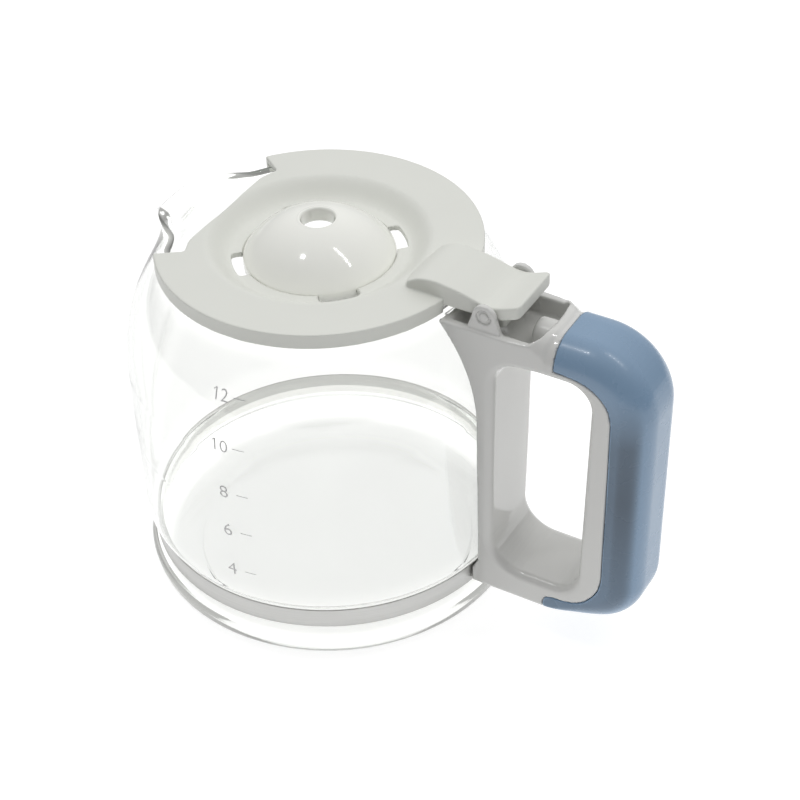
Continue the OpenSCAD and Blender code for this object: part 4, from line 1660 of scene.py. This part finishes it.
@dataclass
class CrossScrew:
    """A small pan-head screw with a cross recess, its head towards +Z of its own axis."""

    length: float
    shank_r: float = 1.5
    head_r: float = 2.7
    head_h: float = 1.8
    pitch: float = 0.8
    thread: float = 0.28
    cross: Point2 = (0.35, 1.5)
    cross_z: float = 0.75

    def distance(self, x: Array, y: Array, z: Array) -> Array:
        """Distance to the screw.

        Args:
            x: X coordinates.
            y: Y coordinates.
            z: Z coordinates.

        Returns:
            The distance.
        """
        r = np.hypot(x, y)
        head = both(np.hypot(r, z + 1.6) - 3.4, np.maximum(r - self.head_r, -z), 0.25)
        u, v = np.abs(x), np.abs(y)
        thin, long = self.cross
        cross = np.minimum(np.maximum(u - thin, v - long), np.maximum(v - thin, u - long))
        head = cut(head, np.maximum(cross, self.cross_z - z), 0.1)
        wave = np.abs(np.mod(z / self.pitch - np.arctan2(y, x) / (2.0 * np.pi), 1.0) - 0.5)
        thread = r - self.shank_r + self.thread * (1.0 - 2.0 * wave)
        shank = both(thread, np.abs(z + self.length / 2.0) - self.length / 2.0, 0.2)
        return np.minimum(head, shank)

    def mesh(self) -> Mesh:
        """Mesh at the screw's own origin, under its head."""
        return polygonise(self.distance, (-2.8, -2.8, -self.length), (2.8, 2.8, self.head_h), (0.2, 0.2, 0.2))


@dataclass
class Fasteners:
    """The screws that can be seen, and the hook over the glass rim."""

    well_screw: Point3 = (91.6, 0.0, 132.1)
    low_screw: Point3 = (109.5, 7.5, 18.0)
    clip_screw: Point3 = (64.99, 0.0, 137.6)
    clip_half: float = 6.0
    clip_line: tuple[Point3, ...] = ((67.4, 137.1, 0.0), (53.7, 137.1, 1.2), (53.7, 131.1, 0.0))
    clip_hole_r: float = 1.7

    def place(self, screw: CrossScrew, where: Point3, turn: Matrix) -> Mesh:
        """Puts a screw's mesh in place.

        Args:
            screw: The screw.
            where: Point under its head.
            turn: Rotation from +Z to its axis.

        Returns:
            Vertices, faces and normals.
        """
        points, faces, normals = screw.mesh()
        spin = np.array(turn.to_3x3())
        return points @ spin.T + np.array(where), faces, normals @ spin.T

    def clip(self, x: Array, y: Array, z: Array) -> Array:
        """Distance to the hook.

        Args:
            x: X coordinates.
            y: Y coordinates.
            z: Z coordinates.

        Returns:
            The distance.
        """
        strip = both(line_distance(filleted(self.clip_line, 5), x, z) - 0.5, np.abs(y) - self.clip_half, 0.25)
        hole = np.hypot(x - self.clip_screw[0], y) - self.clip_hole_r
        return cut(strip, np.maximum(hole, 130.0 - z), 0.15)

    def build(self, finishes: FinishSet) -> list[Piece]:
        """Builds the fasteners.

        Args:
            finishes: The server's finishes.

        Returns:
            The pieces.
        """
        x, y, z = self.low_screw
        down = Matrix.Rotation(math.pi, 4, "X")
        group = [
            self.place(CrossScrew(24.0), self.well_screw, Matrix.Rotation(-math.pi / 2.0, 4, "Y")),
            self.place(CrossScrew(7.0), (x, y, z), down),
            self.place(CrossScrew(7.0), (x, -y, z), down),
        ]
        offsets = np.cumsum([0] + [len(g[0]) for g in group])
        merged = (
            np.concatenate([g[0] for g in group]),
            np.concatenate([g[1] + o for g, o in zip(group, offsets)]),
            np.concatenate([g[2] for g in group]),
        )
        screws = new_piece("grip_shell_screws", *merged)
        upright = self.place(CrossScrew(5.5), self.clip_screw, Matrix.Identity(4))
        clip_screw = new_piece("rim_hook_screw", *upright)
        strip = polygonise(self.clip, (53.1, -6.1, 130.5), (68.0, 6.1, 137.7), (0.3, 0.4, 0.3))
        hook = new_piece("rim_hook", *strip)
        return [
            dress(screws, finishes.screw, Body.JUG, Slot.SCREW, "grip_screws"),
            dress(clip_screw, finishes.screw, Body.JUG, Slot.SCREW, "rim_clip_screw"),
            dress(hook, finishes.band, Body.JUG, Slot.BAND, "rim_clip"),
        ]

    def finish_hidden(self, finishes: FinishSet, nodes: dict[str, Piece]) -> None:
        """Gives the inner fastening solids their steel.

        Args:
            finishes: The server's finishes.
            nodes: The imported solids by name.
        """
        for name in ("band_anchor", "band_screw", "band_washer"):
            nodes[name].data.materials.clear()
            nodes[name].data.materials.append(finishes.screw)
            LOG.info("%s: kept solid", name)


@dataclass
class Studio:
    """Floor, light and camera."""

    eye: Point3 = (336.21, -498.96, 545.36)
    azimuth: float = 31.4
    elevation: float = 38.582
    roll: float = -2.044
    focal_px: float = 2009.45
    frame_px: float = 800.0
    aim: Point3 = (0.03, 0.0, 0.1)
    floor_half: float = 0.75
    floor_glow: float = 0.79
    floor_cells: int = 24

    def camera(self) -> Piece:
        """Makes the camera at the photograph's angle.

        Returns:
            The camera.
        """
        a, e, r = (math.radians(v) for v in (self.azimuth, self.elevation, self.roll))
        back = Vector((math.sin(a) * math.cos(e), -math.cos(a) * math.cos(e), math.sin(e)))
        right = (-back).cross(Vector((0.0, 0.0, 1.0))).normalized()
        up = right.cross(-back)
        right, up = math.cos(r) * right + math.sin(r) * up, math.cos(r) * up - math.sin(r) * right
        data = bpy.data.cameras.new("photo_camera")
        data.sensor_width = 36.0
        data.lens = self.focal_px / self.frame_px * 36.0
        data.clip_start, data.clip_end = 0.01, 20.0
        camera = bpy.data.objects.new("photo_camera", data)
        turn = Matrix((right, up, back)).transposed().to_4x4()
        camera.matrix_world = Matrix.Translation(Vector(self.eye) * MM) @ turn
        bpy.context.scene.collection.objects.link(camera)
        bpy.context.scene.camera = camera
        return camera

    def light(self, name: str, place: Point3, along: Point3, size: Point2, power: float) -> None:
        """Adds a rectangular light that faces the server.

        Args:
            name: Name of the light.
            place: Where it stands, in metres.
            along: Direction of its long side.
            size: Length of its long and short sides.
            power: Watts.
        """
        data = bpy.data.lights.new(name, "AREA")
        data.shape, data.size, data.size_y, data.energy = "RECTANGLE", size[0], size[1], power
        lamp = bpy.data.objects.new(name, data)
        back = (Vector(place) - Vector(self.aim)).normalized()
        side = Vector(along).normalized()
        side = (side - back * side.dot(back)).normalized()
        turn = Matrix((side, back.cross(side), back)).transposed().to_4x4()
        lamp.matrix_world = Matrix.Translation(place) @ turn
        bpy.context.scene.collection.objects.link(lamp)

    def floor(self) -> None:
        """Makes the pale floor."""
        n = self.floor_cells
        side = np.linspace(-self.floor_half, self.floor_half, n + 1) / MM
        points = np.array([(x, y, -0.05) for y in side for x in side])
        corners = [j * (n + 1) + i for j, i in product(range(n), repeat=2)]
        floor = new_piece("pale_floor", points, [[c, c + 1, c + n + 2, c + n + 1] for c in corners])
        paper = MouldedPlastic(
            "pale_paper", (0.40, 0.40, 0.40), 0.004, (0.75, 0.85), 0.8, 0.01, 0.0, glow=self.floor_glow,
        )
        floor.data.materials.append(paper.material())

    def sky(self) -> None:
        """Makes the soft light that comes from all round."""
        world = bpy.data.worlds.new("studio_air")
        world.use_nodes = True
        tree = world.node_tree
        shade = tree.nodes["Background"]
        where = tree.nodes.new("ShaderNodeTexCoord")
        toward = tree.nodes.new("ShaderNodeVectorMath")
        toward.operation = "DOT_PRODUCT"
        toward.inputs[1].default_value = Vector((-0.15, 0.45, 0.88)).normalized()
        ramp = tree.nodes.new("ShaderNodeValToRGB")
        dark, bright = ramp.color_ramp.elements
        dark.position, dark.color = 0.0, (0.13, 0.13, 0.135, 1.0)
        bright.position, bright.color = 0.9, (1.0, 1.0, 1.0, 1.0)
        tree.links.new(where.outputs["Generated"], toward.inputs[0])
        tree.links.new(toward.outputs["Value"], ramp.inputs["Fac"])
        tree.links.new(ramp.outputs["Color"], shade.inputs["Color"])
        shade.inputs["Strength"].default_value = 1.0
        bpy.context.scene.world = world

    def build(self) -> None:
        """Builds the studio."""
        self.camera()
        self.floor()
        self.sky()
        self.light("left_lamp", (-0.25, -0.34, 1.24), (1.0, 0.0, 0.0), (0.09, 0.09), 1.2)
        self.light("right_strip", (0.54, 0.16, 1.18), (0.48, -0.09, -0.21), (0.60, 0.05), 1.6)
        paths = bpy.context.scene.cycles
        paths.max_bounces = paths.transmission_bounces = 24
        view = bpy.context.scene.view_settings
        view.view_transform = "Standard"
        view.look = "None"


def main() -> None:
    """Builds the server piece by piece, then the studio."""
    logging.basicConfig(level=logging.INFO, format="%(name)s %(message)s")
    finishes = FinishSet.make()
    jug = GlassJug()
    form = HandleForm()
    fasteners = Fasteners()
    jug.build(finishes)
    CupMarks().build(finishes, jug)
    ClampBand().build(finishes)
    HandleFrame(form, jug).build(finishes)
    GripShell(form).build(finishes)
    LidPlate().build(finishes)
    LidDome().build(finishes)
    HingePin().build(finishes)
    fasteners.build(finishes)
    fasteners.finish_hidden(finishes, frame["nodes"])
    Studio().build()


if __name__ == "__main__":
    main()
